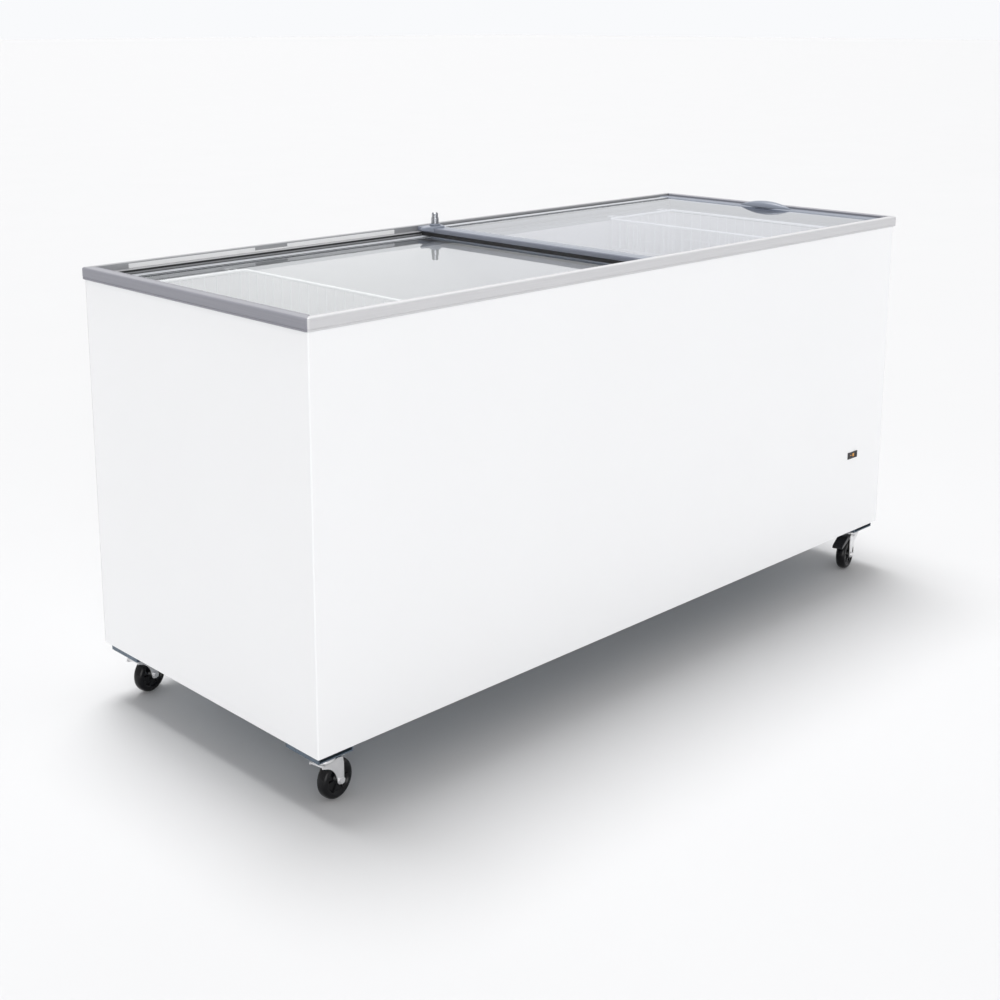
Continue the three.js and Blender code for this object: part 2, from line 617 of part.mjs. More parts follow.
// ---------------------------------------------------------------- wire baskets
const BASKET = {
  width: 260, depth: 230, wall: 3, rimOverLedge: 3, wallClearance: 12,
  hookReach: 9, hookWidth: 24, hookInset: 30,
};

// Open-topped tray as large as the wire grid, with a hook at each corner that rests on the ledge.
function buildBasket(name, centre) {
  const x = BASKET.width / 2;
  const y = STORE_Y - BASKET.wallClearance;
  const rim = LEDGE + BASKET.rimOverLedge;
  const floor = rim - BASKET.depth;
  const wall = BASKET.wall;
  const tray = cut(
    block(-x, x, -y, y, floor, rim),
    block(-x + wall, x - wall, -y + wall, y - wall, floor + wall, rim + CLEAR),
  );
  const hooks = [-1, 1].flatMap((end) => [-1, 1].map((side) => {
    const at = end * (x - BASKET.hookInset);
    const ys = [side * (y - 1), side * (STORE_Y + BASKET.hookReach)].sort((a, b) => a - b);
    const half = BASKET.hookWidth / 2;
    return block(at - half, at + half, ...ys, LEDGE + GAP, rim - GAP);
  }));
  const basket = hooks.map(toSolid).reduce((whole, hook) => whole.add(hook), tray);
  add(name, basket.translate([centre, 0, 0]), WIRE_WHITE);
}

// ---------------------------------------------------------------- castors
const BRACKET = { sideInset: 14, endInset: 16, width: 76, length: 92, sheet: 2.5 };
const CASTOR_PLATE = 62;
const WHEEL_RADIUS = WHEEL_DIAMETER / 2;
const AXLE = 4.5;
const LEG_INSIDE = WHEEL_WIDTH / 2 + 1.5;
const LEG = 2.5;
const CROWN = WHEEL_DIAMETER + 4;
const PLATE_BOTTOM = CASTOR_HEIGHT - 3;

function wheelGeometry() {
  const half = WHEEL_WIDTH / 2;
  const profile = [
    [AXLE + 0.3, -half], [12, -half], [14, -half + 4], [25, -half + 4], [28, -half + 1],
    [WHEEL_RADIUS - 4, -half + 1], [WHEEL_RADIUS, -half + 6],
  ];
  const mirrored = profile.slice().reverse().map(([r, h]) => [r, -h]);
  const outline = [...profile, ...mirrored, profile[0]];
  const ring = new THREE.LatheGeometry(outline.map(([r, h]) => new THREE.Vector2(r, h)), 28);
  return ring.translate(TRAIL, 0, WHEEL_RADIUS);
}

function legShape(braked) {
  const shape = new THREE.Shape();
  const foot = 8;
  shape.absarc(TRAIL, WHEEL_RADIUS, foot, Math.PI, 0, false);
  shape.lineTo(TRAIL + foot, CROWN - 8);
  if (braked) {
    shape.lineTo(TRAIL + foot, CROWN + 8);
    shape.lineTo(TRAIL - foot, CROWN + 8);
  }
  shape.lineTo(TRAIL - foot + (braked ? 0 : 4), CROWN + 3);
  shape.lineTo(-20, CROWN + 3);
  shape.lineTo(-20, CROWN - 3);
  shape.quadraticCurveTo(12, CROWN - 8, TRAIL - foot, WHEEL_RADIUS);
  return shape;
}

const PEDAL_PIN = { x: TRAIL, z: CROWN + 3.5, radius: 2.2 };

function forkSolid(braked) {
  const outer = LEG_INSIDE + LEG;
  const legs = [-outer, LEG_INSIDE].map((y) => sweepY(legShape(braked), y, y + LEG));
  const crown = block(-20, TRAIL - 12, -outer, outer, CROWN, CROWN + 3);
  const head = rod(19, CROWN + 2, PLATE_BOTTOM - GAP, 0, 0, 24, 16);
  const axleHole = rod(AXLE + 0.3, -40, 40, 0, 0, 12).rotateX(Math.PI / 2).translate(TRAIL, 0, WHEEL_RADIUS);
  const holes = [axleHole];
  if (braked) {
    const pin = rod(PEDAL_PIN.radius + 0.3, -40, 40, 0, 0, 12).rotateX(Math.PI / 2);
    holes.push(pin.translate(PEDAL_PIN.x, 0, PEDAL_PIN.z));
  }
  return cut(union(crown, head, ...legs), ...holes);
}

function axleSolid() {
  const outer = LEG_INSIDE + LEG;
  const alongY = (geometry) => geometry.rotateX(Math.PI / 2).translate(TRAIL, 0, WHEEL_RADIUS);
  return union(
    alongY(rod(AXLE, -outer - 1, outer + 1, 0, 0, 12)),
    alongY(rod(7, outer + GAP, outer + 4, 0, 0, 6)),
    alongY(rod(7, -outer - 4, -outer - GAP, 0, 0, 6)),
  );
}

function pedalSolid() {
  const half = LEG_INSIDE - 0.6;
  const outline = [
    [TRAIL - 6, CROWN], [TRAIL - 6, CROWN + 8], [TRAIL + 16, CROWN + 8],
    [TRAIL + 54, CROWN - 6], [TRAIL + 58, CROWN - 14], [TRAIL + 34, CROWN - 9], [TRAIL + 8, CROWN],
  ];
  const body = sweepY(outline, -half, half);
  const outer = LEG_INSIDE + LEG + 1;
  const pin = rod(PEDAL_PIN.radius, -outer, outer, 0, 0, 12).rotateX(Math.PI / 2);
  return union(body, pin.translate(PEDAL_PIN.x, 0, PEDAL_PIN.z));
}

function buildCastor({ name, side, end, heading, braked }) {
  const x = side * (WIDTH / 2 - CASTOR_INSET);
  const y = end * (DEPTH / 2 - CASTOR_INSET);
  const bracket = BRACKET;
  const outerX = WIDTH / 2 - bracket.sideInset;
  const outerY = DEPTH / 2 - bracket.endInset;
  const [x0, x1] = [side * outerX, side * (outerX - bracket.width)].sort((a, b) => a - b);
  const [y0, y1] = [end * outerY, end * (outerY - bracket.length)].sort((a, b) => a - b);
  const channel = block(x0, x1, y0, y1, CASTOR_HEIGHT, CABINET_BOTTOM);
  const hollow = block(x0 + bracket.sheet, x1 - bracket.sheet, y0 - CLEAR, y1 + CLEAR,
    CASTOR_HEIGHT + bracket.sheet, CABINET_BOTTOM + CLEAR);
  add(`${name}_caster_bracket`, cut(channel, hollow), BLUE_ZINC);
  const half = CASTOR_PLATE / 2;
  const plate = block(x - half, x + half, y - half, y + half, PLATE_BOTTOM, CASTOR_HEIGHT);
  add(`${name}_caster_plate`, plate, ZINC);

  const turning = new THREE.Group();
  turning.position.set(x, y, 0);
  turning.rotation.z = THREE.MathUtils.degToRad(heading);
  freezer.add(turning);
  add(`${name}_fork`, forkSolid(braked), ZINC, turning);
  add(`${name}_axle`, axleSolid(), ZINC, turning);
  add(`${name}_wheel`, wheelGeometry(), BLACK_WHEEL, turning);
  if (braked) {
    add(`${name}_brake_pedal`, pedalSolid(), BLACK_PLASTIC, turning);
  }
}

const CASTORS = [
  { name: 'front_left', side: -1, end: -1, heading: 9, braked: false },
  { name: 'front_right', side: 1, end: -1, heading: 192.7, braked: true },
  { name: 'rear_left', side: -1, end: 1, heading: 15, braked: false },
  { name: 'rear_right', side: 1, end: 1, heading: 168, braked: true },
];

// ---------------------------------------------------------------- assembly
buildPanels();
buildInsulation();
buildEvaporator();
buildDrain();
buildFrame();
buildGlideStrips();
buildLowerLid();
buildUpperLid();
buildDisplay();
buildCondenser();
buildFan();
buildCompressor();
buildGland();
buildBasket('left_basket', -690);
buildBasket('right_basket', 690);
CASTORS.forEach(buildCastor);

export default freezer;
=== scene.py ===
"""Chest freezer with sliding glass lids: looks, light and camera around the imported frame."""

import math
from math import cos, pi, radians, sin

import bmesh
import bpy
from mathutils import Matrix, Vector


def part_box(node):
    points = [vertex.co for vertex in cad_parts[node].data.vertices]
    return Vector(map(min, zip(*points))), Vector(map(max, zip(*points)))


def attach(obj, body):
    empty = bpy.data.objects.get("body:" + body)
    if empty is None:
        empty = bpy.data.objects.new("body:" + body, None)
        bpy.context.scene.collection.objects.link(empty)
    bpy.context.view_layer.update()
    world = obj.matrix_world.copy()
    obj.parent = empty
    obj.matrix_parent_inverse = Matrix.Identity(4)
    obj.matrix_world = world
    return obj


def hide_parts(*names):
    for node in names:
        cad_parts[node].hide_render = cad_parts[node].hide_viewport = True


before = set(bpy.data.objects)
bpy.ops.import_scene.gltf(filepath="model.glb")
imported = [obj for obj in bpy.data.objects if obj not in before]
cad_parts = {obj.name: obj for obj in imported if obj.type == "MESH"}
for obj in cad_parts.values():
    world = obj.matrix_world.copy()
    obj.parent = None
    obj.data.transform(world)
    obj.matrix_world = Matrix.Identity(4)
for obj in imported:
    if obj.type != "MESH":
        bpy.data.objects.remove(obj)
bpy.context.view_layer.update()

MM = 0.001
scene = bpy.context.scene

# Planes and places of the frame in millimetres; the origin is the middle of the footprint on
# the floor, and the front faces -Y.
HALF_X, HALF_Y, TOP = 890.0, 350.0, 880.0
SKIRT, RAIL_BOTTOM, LEDGE = 857.0, 838.0, 846.0
CAB_X, CAB_Y, CAB_BOTTOM = 884.0, 344.0, 115.0
STORE_X, STORE_Y, STORE_FLOOR = 830.0, 290.0, 175.0
STEP_X, STEP_TOP = 524.0, 435.0
CONDENSER_Y = (-250.0, 0.0)
UPPER_TRACK, LOWER_TRACK = 868.0, 853.0
UPPER_PANE_TOP, LOWER_PANE_TOP = 873.6, 858.6
UPPER_LID_Y, LOWER_LID_Y, LID_END_X = 331.0, 317.0, 831.5
BASKET_X = 690.0
CASTOR_X, CASTOR_Y = 838.0, 298.0
DISPLAY_X, DISPLAY_Z = 755.0, 312.5
WINDOW_X = (DISPLAY_X - 19, DISPLAY_X + 19)
WINDOW_Z = (DISPLAY_Z - 6, DISPLAY_Z + 6)
VENT_WIDTH, VENT_Z = 8, (225, 345)


# ------------------------------------------------------------------ materials
def link(tree, out, into):
    tree.links.new(out, into)


def noise(tree, coords, scale, detail=3.0, stretch=(1, 1, 1)):
    mapping = tree.nodes.new("ShaderNodeMapping")
    mapping.inputs["Scale"].default_value = stretch
    link(tree, coords, mapping.inputs["Vector"])
    node = tree.nodes.new("ShaderNodeTexNoise")
    node.inputs["Scale"].default_value = scale
    node.inputs["Detail"].default_value = detail
    link(tree, mapping.outputs["Vector"], node.inputs["Vector"])
    return node.outputs["Fac"]


def spread(tree, value, low, high):
    node = tree.nodes.new("ShaderNodeMapRange")
    node.inputs["From Min"].default_value = 0.3
    node.inputs["From Max"].default_value = 0.7
    node.inputs["To Min"].default_value = low
    node.inputs["To Max"].default_value = high
    link(tree, value, node.inputs["Value"])
    return node.outputs["Result"]


def ramp(tree, value, dark, light, ends=(0.3, 0.7)):
    node = tree.nodes.new("ShaderNodeValToRGB")
    node.color_ramp.elements[0].position = ends[0]
    node.color_ramp.elements[1].position = ends[1]
    node.color_ramp.elements[0].color = (*dark, 1)
    node.color_ramp.elements[1].color = (*light, 1)
    link(tree, value, node.inputs["Fac"])
    return node.outputs["Color"]


def shade(colour, factor):
    return tuple(min(1.0, c * factor) for c in colour)


def surface(name, colour, rough, metal=0.0, tone=0.04, tone_scale=9.0, rough_swing=0.05,
            grain=400.0, relief=0.04, stretch=(1, 1, 1), coat=0.0, cells=0.0, shine=0.5):
    """Shader with tone, gloss and relief that vary over the surface; cells is a crystal size."""
    mat = bpy.data.materials.new(name)
    mat.use_nodes = True
    tree = mat.node_tree
    shader = tree.nodes["Principled BSDF"]
    shader.inputs["Metallic"].default_value = metal
    shader.inputs["Specular IOR Level"].default_value = shine
    shader.inputs["Coat Weight"].default_value = coat
    shader.inputs["Coat Roughness"].default_value = 0.12
    coords = tree.nodes.new("ShaderNodeTexCoord").outputs["Object"]
    if cells:
        crystals = tree.nodes.new("ShaderNodeTexVoronoi")
        crystals.inputs["Scale"].default_value = cells
        link(tree, coords, crystals.inputs["Vector"])
        split = tree.nodes.new("ShaderNodeSeparateColor")
        link(tree, crystals.outputs["Color"], split.inputs["Color"])
        pattern = split.outputs["Red"]
    else:
        pattern = noise(tree, coords, tone_scale, 4.0, stretch)
    ends = (0.0, 1.0) if cells else (0.3, 0.7)
    tint = ramp(tree, pattern, shade(colour, 1 - tone), shade(colour, 1 + tone), ends)
    link(tree, tint, shader.inputs["Base Color"])
    gloss = noise(tree, coords, tone_scale * 2.7, 5.0, stretch)
    gloss = spread(tree, gloss, max(0.02, rough - rough_swing), rough + rough_swing)
    link(tree, gloss, shader.inputs["Roughness"])
    bump = tree.nodes.new("ShaderNodeBump")
    bump.inputs["Strength"].default_value = relief
    bump.inputs["Distance"].default_value = 0.0006
    link(tree, noise(tree, coords, grain, 2.0, stretch), bump.inputs["Height"])
    link(tree, bump.outputs["Normal"], shader.inputs["Normal"])
    return mat


def glass(name, tint, gloss=0.035):
    """Thin pane: mostly see-through, with a mirror layer that grows towards grazing angles."""
    mat = bpy.data.materials.new(name)
    mat.use_nodes = True
    tree = mat.node_tree
    tree.nodes.clear()
    output = tree.nodes.new("ShaderNodeOutputMaterial")
    through = tree.nodes.new("ShaderNodeBsdfTransparent")
    mirror = tree.nodes.new("ShaderNodeBsdfGlossy")
    fresnel = tree.nodes.new("ShaderNodeFresnel")
    fresnel.inputs["IOR"].default_value = 1.5
    mix = tree.nodes.new("ShaderNodeMixShader")
    coords = tree.nodes.new("ShaderNodeTexCoord").outputs["Object"]
    film = noise(tree, coords, 6.0, 3.0)
    link(tree, ramp(tree, film, shade(tint, 0.985), tint), through.inputs["Color"])
    link(tree, spread(tree, film, gloss * 0.6, gloss * 1.4), mirror.inputs["Roughness"])
    mirror.inputs["Color"].default_value = (0.95, 0.97, 1.0, 1)
    front = tree.nodes.new("ShaderNodeMath")
    front.operation = "SUBTRACT"
    front.inputs[0].default_value = 1.0
    geometry = tree.nodes.new("ShaderNodeNewGeometry")
    link(tree, geometry.outputs["Backfacing"], front.inputs[1])
    share = tree.nodes.new("ShaderNodeMath")
    share.operation = "MULTIPLY"
    link(tree, fresnel.outputs["Fac"], share.inputs[0])
    link(tree, front.outputs["Value"], share.inputs[1])
    link(tree, share.outputs["Value"], mix.inputs["Fac"])
    link(tree, through.outputs["BSDF"], mix.inputs[1])
    link(tree, mirror.outputs["BSDF"], mix.inputs[2])
    link(tree, mix.outputs["Shader"], output.inputs["Surface"])
    return mat


def glowing(name, colour, strength):
    mat = surface(name, colour, 0.4, tone=0.12, tone_scale=600)
    shader = mat.node_tree.nodes["Principled BSDF"]
    shader.inputs["Emission Color"].default_value = (*colour, 1)
    shader.inputs["Emission Strength"].default_value = strength
    return mat


# Fine streaks along the length of a rail or profile.
STREAKS_X = {"tone_scale": 420, "grain": 900, "stretch": (0.02, 1, 1)}
STREAKS_Y = {"tone_scale": 420, "grain": 900, "stretch": (1, 0.02, 1)}
LOOKS = {
    "white_paint": surface("white powder coat", (0.90, 0.905, 0.915), 0.30, tone=0.006,
                           tone_scale=2, rough_swing=0.012, grain=1400, relief=0.012, coat=0.2),
    "galvanised": surface("galvanised steel", (0.40, 0.455, 0.51), 0.40, 0.75, tone=0.14,
                          cells=170, rough_swing=0.10, grain=300, relief=0.03),
    "foam": surface("rigid foam", (0.86, 0.79, 0.58), 0.9, tone=0.08, tone_scale=60,
                    grain=700, relief=0.5),
    "liner_white": surface("coated liner", (0.80, 0.797, 0.795), 0.38, tone=0.01, tone_scale=5,
                           rough_swing=0.06, grain=260, relief=0.12),
    "copper": surface("copper tube", (0.72, 0.38, 0.22), 0.28, 1.0, tone=0.12, tone_scale=30),
    "white_plastic": surface("white plastic", (0.88, 0.885, 0.89), 0.36, tone=0.02,
                             tone_scale=40, grain=900, relief=0.06),
    "rubber": surface("black rubber", (0.022, 0.022, 0.024), 0.72, tone=0.18, tone_scale=50,
                      grain=1500, relief=0.25),
    "satin_aluminium": surface("satin aluminium", (0.64, 0.64, 0.655), 0.46, 0.25, tone=0.035,
                               relief=0.05, **STREAKS_X),
    "grey_plastic": surface("grey profile", (0.278, 0.28, 0.315), 0.40, 0.15, tone=0.035,
                            relief=0.05, **STREAKS_Y),
    "slate_plastic": surface("slate profile", (0.235, 0.26, 0.315), 0.36, tone=0.05,
                             relief=0.06, **STREAKS_Y),
    # Darker copy of the slate profile for the strip down the upper lid bar's left face: partly
    # the seal's own colour, partly painted shade of the bar's side.
    "slate_seal_and_shade": surface("slate seal with painted shade", (0.185, 0.20, 0.245), 0.42, tone=0.06,
                          relief=0.06, **STREAKS_Y),
    "edge_grey": surface("glass edge channel", (0.50, 0.52, 0.55), 0.38, 0.2, tone=0.03,
                         relief=0.05, **STREAKS_X),
    "clear_glass": glass("clear glass", (0.982, 0.988, 0.985)),
    "chrome": surface("chrome", (0.36, 0.37, 0.39), 0.27, 1.0, tone=0.05, tone_scale=200,
                      rough_swing=0.04, grain=2500, relief=0.02, stretch=(1, 1, 0.1)),
    "black_plastic": surface("black plastic", (0.016, 0.016, 0.018), 0.38, tone=0.12,
                             tone_scale=60, grain=1300, relief=0.06),
    "display": surface("display window", (0.008, 0.007, 0.006), 0.08, tone=0.2, tone_scale=90,
                       rough_swing=0.02, relief=0.01, coat=0.6),
    "amber": glowing("amber digits", (0.75, 0.36, 0.05), 0.9),
    "black_paint": surface("black enamel", (0.024, 0.024, 0.027), 0.36, 0.1, tone=0.2,
                           tone_scale=45, grain=700, relief=0.14),
    "white_wire": surface("coated wire", (0.86, 0.865, 0.87), 0.34, tone=0.02, tone_scale=40,
                          grain=800, relief=0.07),
    "zinc": surface("zinc plate", (0.80, 0.80, 0.81), 0.32, 0.6, tone=0.03, tone_scale=40,
                    rough_swing=0.04, grain=900, relief=0.02),
    "black_wheel": surface("moulded wheel", (0.005, 0.005, 0.006), 0.22, tone=0.15,
                           tone_scale=50, rough_swing=0.03, grain=900, relief=0.02, shine=0.24),
    "bracket_blue": surface("passivated bracket", (0.115, 0.15, 0.19), 0.36, 0.55, tone=0.16,
                            cells=190, rough_swing=0.07, grain=400, relief=0.03),
    # Darker copy of the satin aluminium for the rear rail, which is the same metal as the front
    # rail: the darker tone is painted shade.
    "rear_rail_painted_shade": surface("rear rail aluminium painted shade", (0.40, 0.405, 0.42), 0.38, 0.45,
                              tone=0.035, relief=0.05, **STREAKS_X),
    "shaded_glass": glass("upper lid glass", (0.87, 0.875, 0.90)),
}


# ------------------------------------------------------------------ mesh tools
class Shape:
    """Mesh under construction, in millimetres, placed by the matrix at."""

    def __init__(self, at=None):
        self.bm = bmesh.new()
        self.at = at or Matrix()

    def vert(self, point):
        return self.bm.verts.new((self.at @ Vector(point)) * MM)

    def face(self, verts):
        unique = list(dict.fromkeys(verts))
        if len(unique) > 2:
            self.bm.faces.new(unique)

    def grid(self, rows, closed_row=False, closed_column=False, skip=()):
        """Quads between rows of points; skip holds (row, column) cells left open."""
        made = [[self.vert(p) for p in row] for row in rows]
        last_row = len(made) if closed_column else len(made) - 1
        width = len(made[0])
        last_column = width if closed_row else width - 1
        for i in range(last_row):
            for j in range(last_column):
                if (i, j) in skip:
                    continue
                here, above = made[i], made[(i + 1) % len(made)]
                self.face([here[j], here[(j + 1) % width], above[(j + 1) % width], above[j]])
        return made

    def prism(self, outline, place, start, end):
        """Closed bar: the flat outline carried from start to end by place(a, b, t)."""
        rows = [[place(a, b, t) for a, b in outline] for t in (start, end)]
        ends = self.grid(rows, closed_row=True)
        self.face(list(reversed(ends[0])))
        self.face(ends[1])
        return self

    def box(self, x, y, z):
        outline = [(x[0], y[0]), (x[1], y[0]), (x[1], y[1]), (x[0], y[1])]
        return self.prism(outline, along_z, *z)

    def lathe(self, profile, turn, steps=32, closed=False):
        """Turned body: profile of (radius, height) about the axis that turn(x, y, h) sets."""
        rows = []
        for radius, height in profile:
            angles = [2 * pi * k / steps for k in range(steps)]
            rows.append([turn(radius * cos(a), radius * sin(a), height) for a in angles])
        made = self.grid(rows, closed_row=True, closed_column=closed)
        if not closed:
            self.face(list(reversed(made[0])))
            self.face(made[-1])
        return self

    def tube(self, points, radius, sides=8, loop=False):
        """Round wire through points, with its section kept square to the path."""
        points = [Vector(p) for p in points]
        count = len(points)
        rows = []
        normal = None
        for i, point in enumerate(points):
            ahead = points[(i + 1) % count] if loop or i + 1 < count else point
            behind = points[i - 1] if loop or i > 0 else point
            along = (ahead - behind).normalized()
            if normal is None:
                seed = Vector((0, 0, 1)) if abs(along.z) < 0.9 else Vector((1, 0, 0))
                normal = along.cross(seed).normalized()
            normal = (normal - along * normal.dot(along)).normalized()
            side = along.cross(normal)
            rows.append([point + normal * (radius * cos(2 * pi * k / sides))
                         + side * (radius * sin(2 * pi * k / sides)) for k in range(sides)])
        made = self.grid(rows, closed_row=True, closed_column=loop)
        if not loop:
            self.face(list(reversed(made[0])))
            self.face(made[-1])
        return self


def add_object(name, bm, material, smooth=35):
    """Object in the scene, with edges sharper than smooth degrees left sharp."""
    mesh = bpy.data.meshes.new(name)
    bm.to_mesh(mesh)
    bm.free()
    mesh.materials.append(material)
    for polygon in mesh.polygons:
        polygon.use_smooth = True
    mesh.set_sharp_from_angle(angle=radians(smooth))
    obj = bpy.data.objects.new(name, mesh)
    scene.collection.objects.link(obj)
    return obj


def thicken(obj, thickness):
    thick = obj.modifiers.new("sheet", "SOLIDIFY")
    thick.thickness = thickness * MM
    thick.offset = -1


def piece(name, shape, look, body, *nodes, bevel=0.0, sheet=0.0, smooth=35, steps=2):
    """Turns a shape into an object on a body, standing for the given frame nodes."""
    bmesh.ops.remove_doubles(shape.bm, verts=shape.bm.verts, dist=1e-6)
    bmesh.ops.recalc_face_normals(shape.bm, faces=shape.bm.faces)
    obj = add_object(name, shape.bm, LOOKS[look], smooth)
    if sheet:
        thicken(obj, sheet)
    if bevel:
        round_edges(obj, bevel, steps)
    else:
        even_normals(obj)
    if nodes:
        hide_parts(*nodes)
    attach(obj, body)
    return obj


def round_edges(obj, width, steps=2):
    edge = obj.modifiers.new("edges", "BEVEL")
    edge.width = width * MM
    edge.segments = steps
    edge.limit_method = "ANGLE"
    edge.angle_limit = radians(35)
    edge.harden_normals = True


def even_normals(obj):
    """Large flat faces keep their own direction where they meet a small round."""
    even = obj.modifiers.new("normals", "WEIGHTED_NORMAL")
    even.keep_sharp = True
    even.weight = 100


def arc(cx, cy, radius, start, end, steps):
    turns = [radians(start + (end - start) * i / steps) for i in range(steps + 1)]
    return [(cx + radius * cos(a), cy + radius * sin(a)) for a in turns]


def along_x(a, b, t):
    """Carries an outline drawn in Y and Z along X."""
    return (t, a, b)


def along_y(a, b, t):
    """Carries an outline drawn in X and Z along Y."""
    return (a, t, b)


def along_z(a, b, t):
    """Carries an outline drawn in X and Y along Z."""
    return (a, b, t)


def upright(x, y):
    """Places a turned body with its axis along Z through (x, y)."""
    return lambda a, b, h: (x + a, y + b, h)


def across(x, z):
    """Places a turned body with its axis along Y through (x, z)."""
    return lambda a, b, h: (x + a, h, z + b)


def lengthwise(y, z):
    """Places a turned body with its axis along X through (y, z)."""
    return lambda a, b, h: (h, y + a, z + b)


# ------------------------------------------------------------------ painted cabinet
def plan_path(radius=3.0, steps=6):
    """Outside line of the sheet that wraps left side, front and right side."""
    path = [(-CAB_X, CAB_Y)]
    path += arc(-CAB_X + radius, -CAB_Y + radius, radius, 180, 270, steps)
    path += [(x, -CAB_Y) for x in WINDOW_X]
    path += arc(CAB_X - radius, -CAB_Y + radius, radius, 270, 360, steps)
    path += [(CAB_X, CONDENSER_Y[0]), (CAB_X, CONDENSER_Y[1]), (CAB_X, CAB_Y)]
    return path


def build_wrap():
    """Sheet around three sides, open at the louvres and behind the display."""
    louvre_count, pitch, slot = 12, 18, 7
    louvres = [CAB_BOTTOM + 32 + pitch * i for i in range(louvre_count)]
    heights = sorted([CAB_BOTTOM, SKIRT, *louvres, *[z + slot for z in louvres], *WINDOW_Z])
    path = plan_path()
    shape = Shape()
    open_cells = set()
    for i, z in enumerate(heights[:-1]):
        for j, (x, y) in enumerate(path[:-1]):
            in_louvre = z in louvres and x == CAB_X and y == CONDENSER_Y[0]
            in_window = WINDOW_Z[0] <= z < WINDOW_Z[1] and x == WINDOW_X[0]
            if in_louvre or in_window:
                open_cells.add((i, j))
    shape.grid([[(x, y, z) for x, y in path] for z in heights], skip=open_cells)
    piece("outer_wrap", shape, "white_paint", "cabinet",
          "front_panel", "left_side_panel", "right_side_panel", sheet=1.0)
    hoods = Shape()
    for z in louvres:
        add_hood(hoods, z)
    piece("side_louvre_hoods", hoods, "white_paint", "cabinet", sheet=0.8)


def add_hood(shape, z):
    """Pressed hood over one slot: tight to the sheet above, 5 mm proud at its lower lip."""
    y0, y1 = CONDENSER_Y
    proud = 5.0
    section = [(0.0, 8.6), (1.4, 8.3), (3.2, 6.8), (4.5, 4.2), (proud, 1.2)]
    rows = []
    for depth, rise in section:
        run = 10 * (1 - depth / proud) ** 2
        rows.append([(CAB_X, y0 - 2 + run * 0.2, z + rise), (CAB_X + depth, y0 + 8, z + rise),
                     (CAB_X + depth, y1 - 8, z + rise), (CAB_X, y1 + 2 - run * 0.2, z + rise)])
    shape.grid(rows)


def build_back():
    """Flat rear sheet with a row of vents behind the machine compartment, and its screws."""
    vent_count, pitch = 9, 22
    vents = [624 + pitch * i for i in range(vent_count)]
    middle_strip = (-5, 5)
    columns = sorted([-CAB_X, CAB_X, *middle_strip, *vents, *[x + VENT_WIDTH for x in vents]])
    rows = [CAB_BOTTOM, *VENT_Z, SKIRT]
    skip = {(1, j) for j, x in enumerate(columns[:-1]) if x in vents}
    shape = Shape()
    shape.grid([[(x, CAB_Y, z) for x in columns] for z in rows], skip=skip)
    for x in vents:
        add_vent_lip(shape, x)
    piece("rear_sheet", shape, "white_paint", "cabinet", "rear_panel", sheet=-1.0)
    screws = Shape()
    places = [(x, z) for x in range(-860, 861, 215) for z in (130, 840)]
    places += [(sx * 868, z) for sx in (-1, 1) for z in (310, 485, 660)]
    places += [(x, z) for x in (606, 820) for z in (372, 240)]
    places += [(x, 135) for x in (606, 820)]
    for x, z in places:
        add_screw(screws, x, z)
    piece("rear_screws", screws, "zinc", "cabinet")


def add_vent_lip(shape, x):
    """Raised bead down both sides of a vent."""
    for edge, side in ((x, -1), (x + VENT_WIDTH, 1)):
        rows = [[(edge + side * a, CAB_Y + b, z) for z in VENT_Z]
                for a, b in ((0, 0), (0.4, 0.9), (1.6, 1.1), (2.6, 0))]
        shape.grid(rows)


def add_screw(shape, x, z):
    profile = [(4.2, 0.0), (4.2, 0.6), (3.4, 1.6), (1.8, 2.2), (1.6, 1.2), (0.4, 1.2)]
    shape.lathe(profile, lambda a, b, h: (x + a, CAB_Y + h, z + b), 14)


# ------------------------------------------------------------------ top frame
def rail_section(track):
    """Outline of a rail as (inward distance, height), with its grooves and rounded edges."""
    flat = 16 if track else 24
    section = [(0.7, SKIRT), (0.2, SKIRT + 0.5), (0.2, 860.0), (0.9, 860.6), (0.9, 861.6),
               (0.0, 862.2)]
    section += arc(4, TOP - 4, 4, 180, 90, 6)
    section += [(flat - 4.5, TOP), (flat - 4.2, TOP - 0.5), (flat - 3.6, TOP - 0.5),
                (flat - 3.3, TOP), (flat - 1, TOP), (flat - 0.3, TOP - 0.3), (flat, TOP - 1)]
    if track:
        for start, end, level in ((16, 31, UPPER_TRACK), (31, 46, LOWER_TRACK)):
            section += [(start, level + 0.6), (start + 0.6, level), (end - 0.6, level),
                        (end, level - 0.6)]
        section += [(46, LEDGE)]
        grooves = (48.5, 51.5, 54.5)
    else:
        section += [(24, LEDGE + 0.8), (24.8, LEDGE)]
        grooves = (29, 34, 39, 44, 49, 54)
    for d in grooves:
        section += [(d, LEDGE), (d + 0.3, LEDGE - 0.7), (d + 1.2, LEDGE - 0.7), (d + 1.5, LEDGE)]
    section += [(59.4, LEDGE), (60, LEDGE - 0.6), (60, RAIL_BOTTOM + 0.6),
                (59.4, RAIL_BOTTOM), (7.2, RAIL_BOTTOM), (7.2, SKIRT)]
    return section


def rail(name, section, half, away, turn, look):
    """Rail with 45 degree mitres whose corners are rounded in plan."""
    radius = 7.0
    mitre_play = 0.15
    spin = Matrix.Rotation(radians(turn), 4, "Z")
    shape = Shape(spin)
    angles = [45 + 9 * k for k in range(6)]

    def corner_point(d, angle):
        if d < radius:
            reach = radius - d
            return radius - reach * cos(radians(angle)), radius - reach * sin(radians(angle))
        return d, d

    rows = []
    for d, z in section:
        left = []
        for angle in angles:
            along, inward = corner_point(d, angle)
            left.append((-half + along + mitre_play, -away + inward, z))
        rows.append(left + [(-x, y, z) for x, y, z in reversed(left)])
    made = shape.grid(rows, closed_column=True)
    shape.face([row[0] for row in made])
    shape.face([row[-1] for row in reversed(made)])
    return piece(name, shape, look, "cabinet", name.replace("_profile", ""), smooth=28)


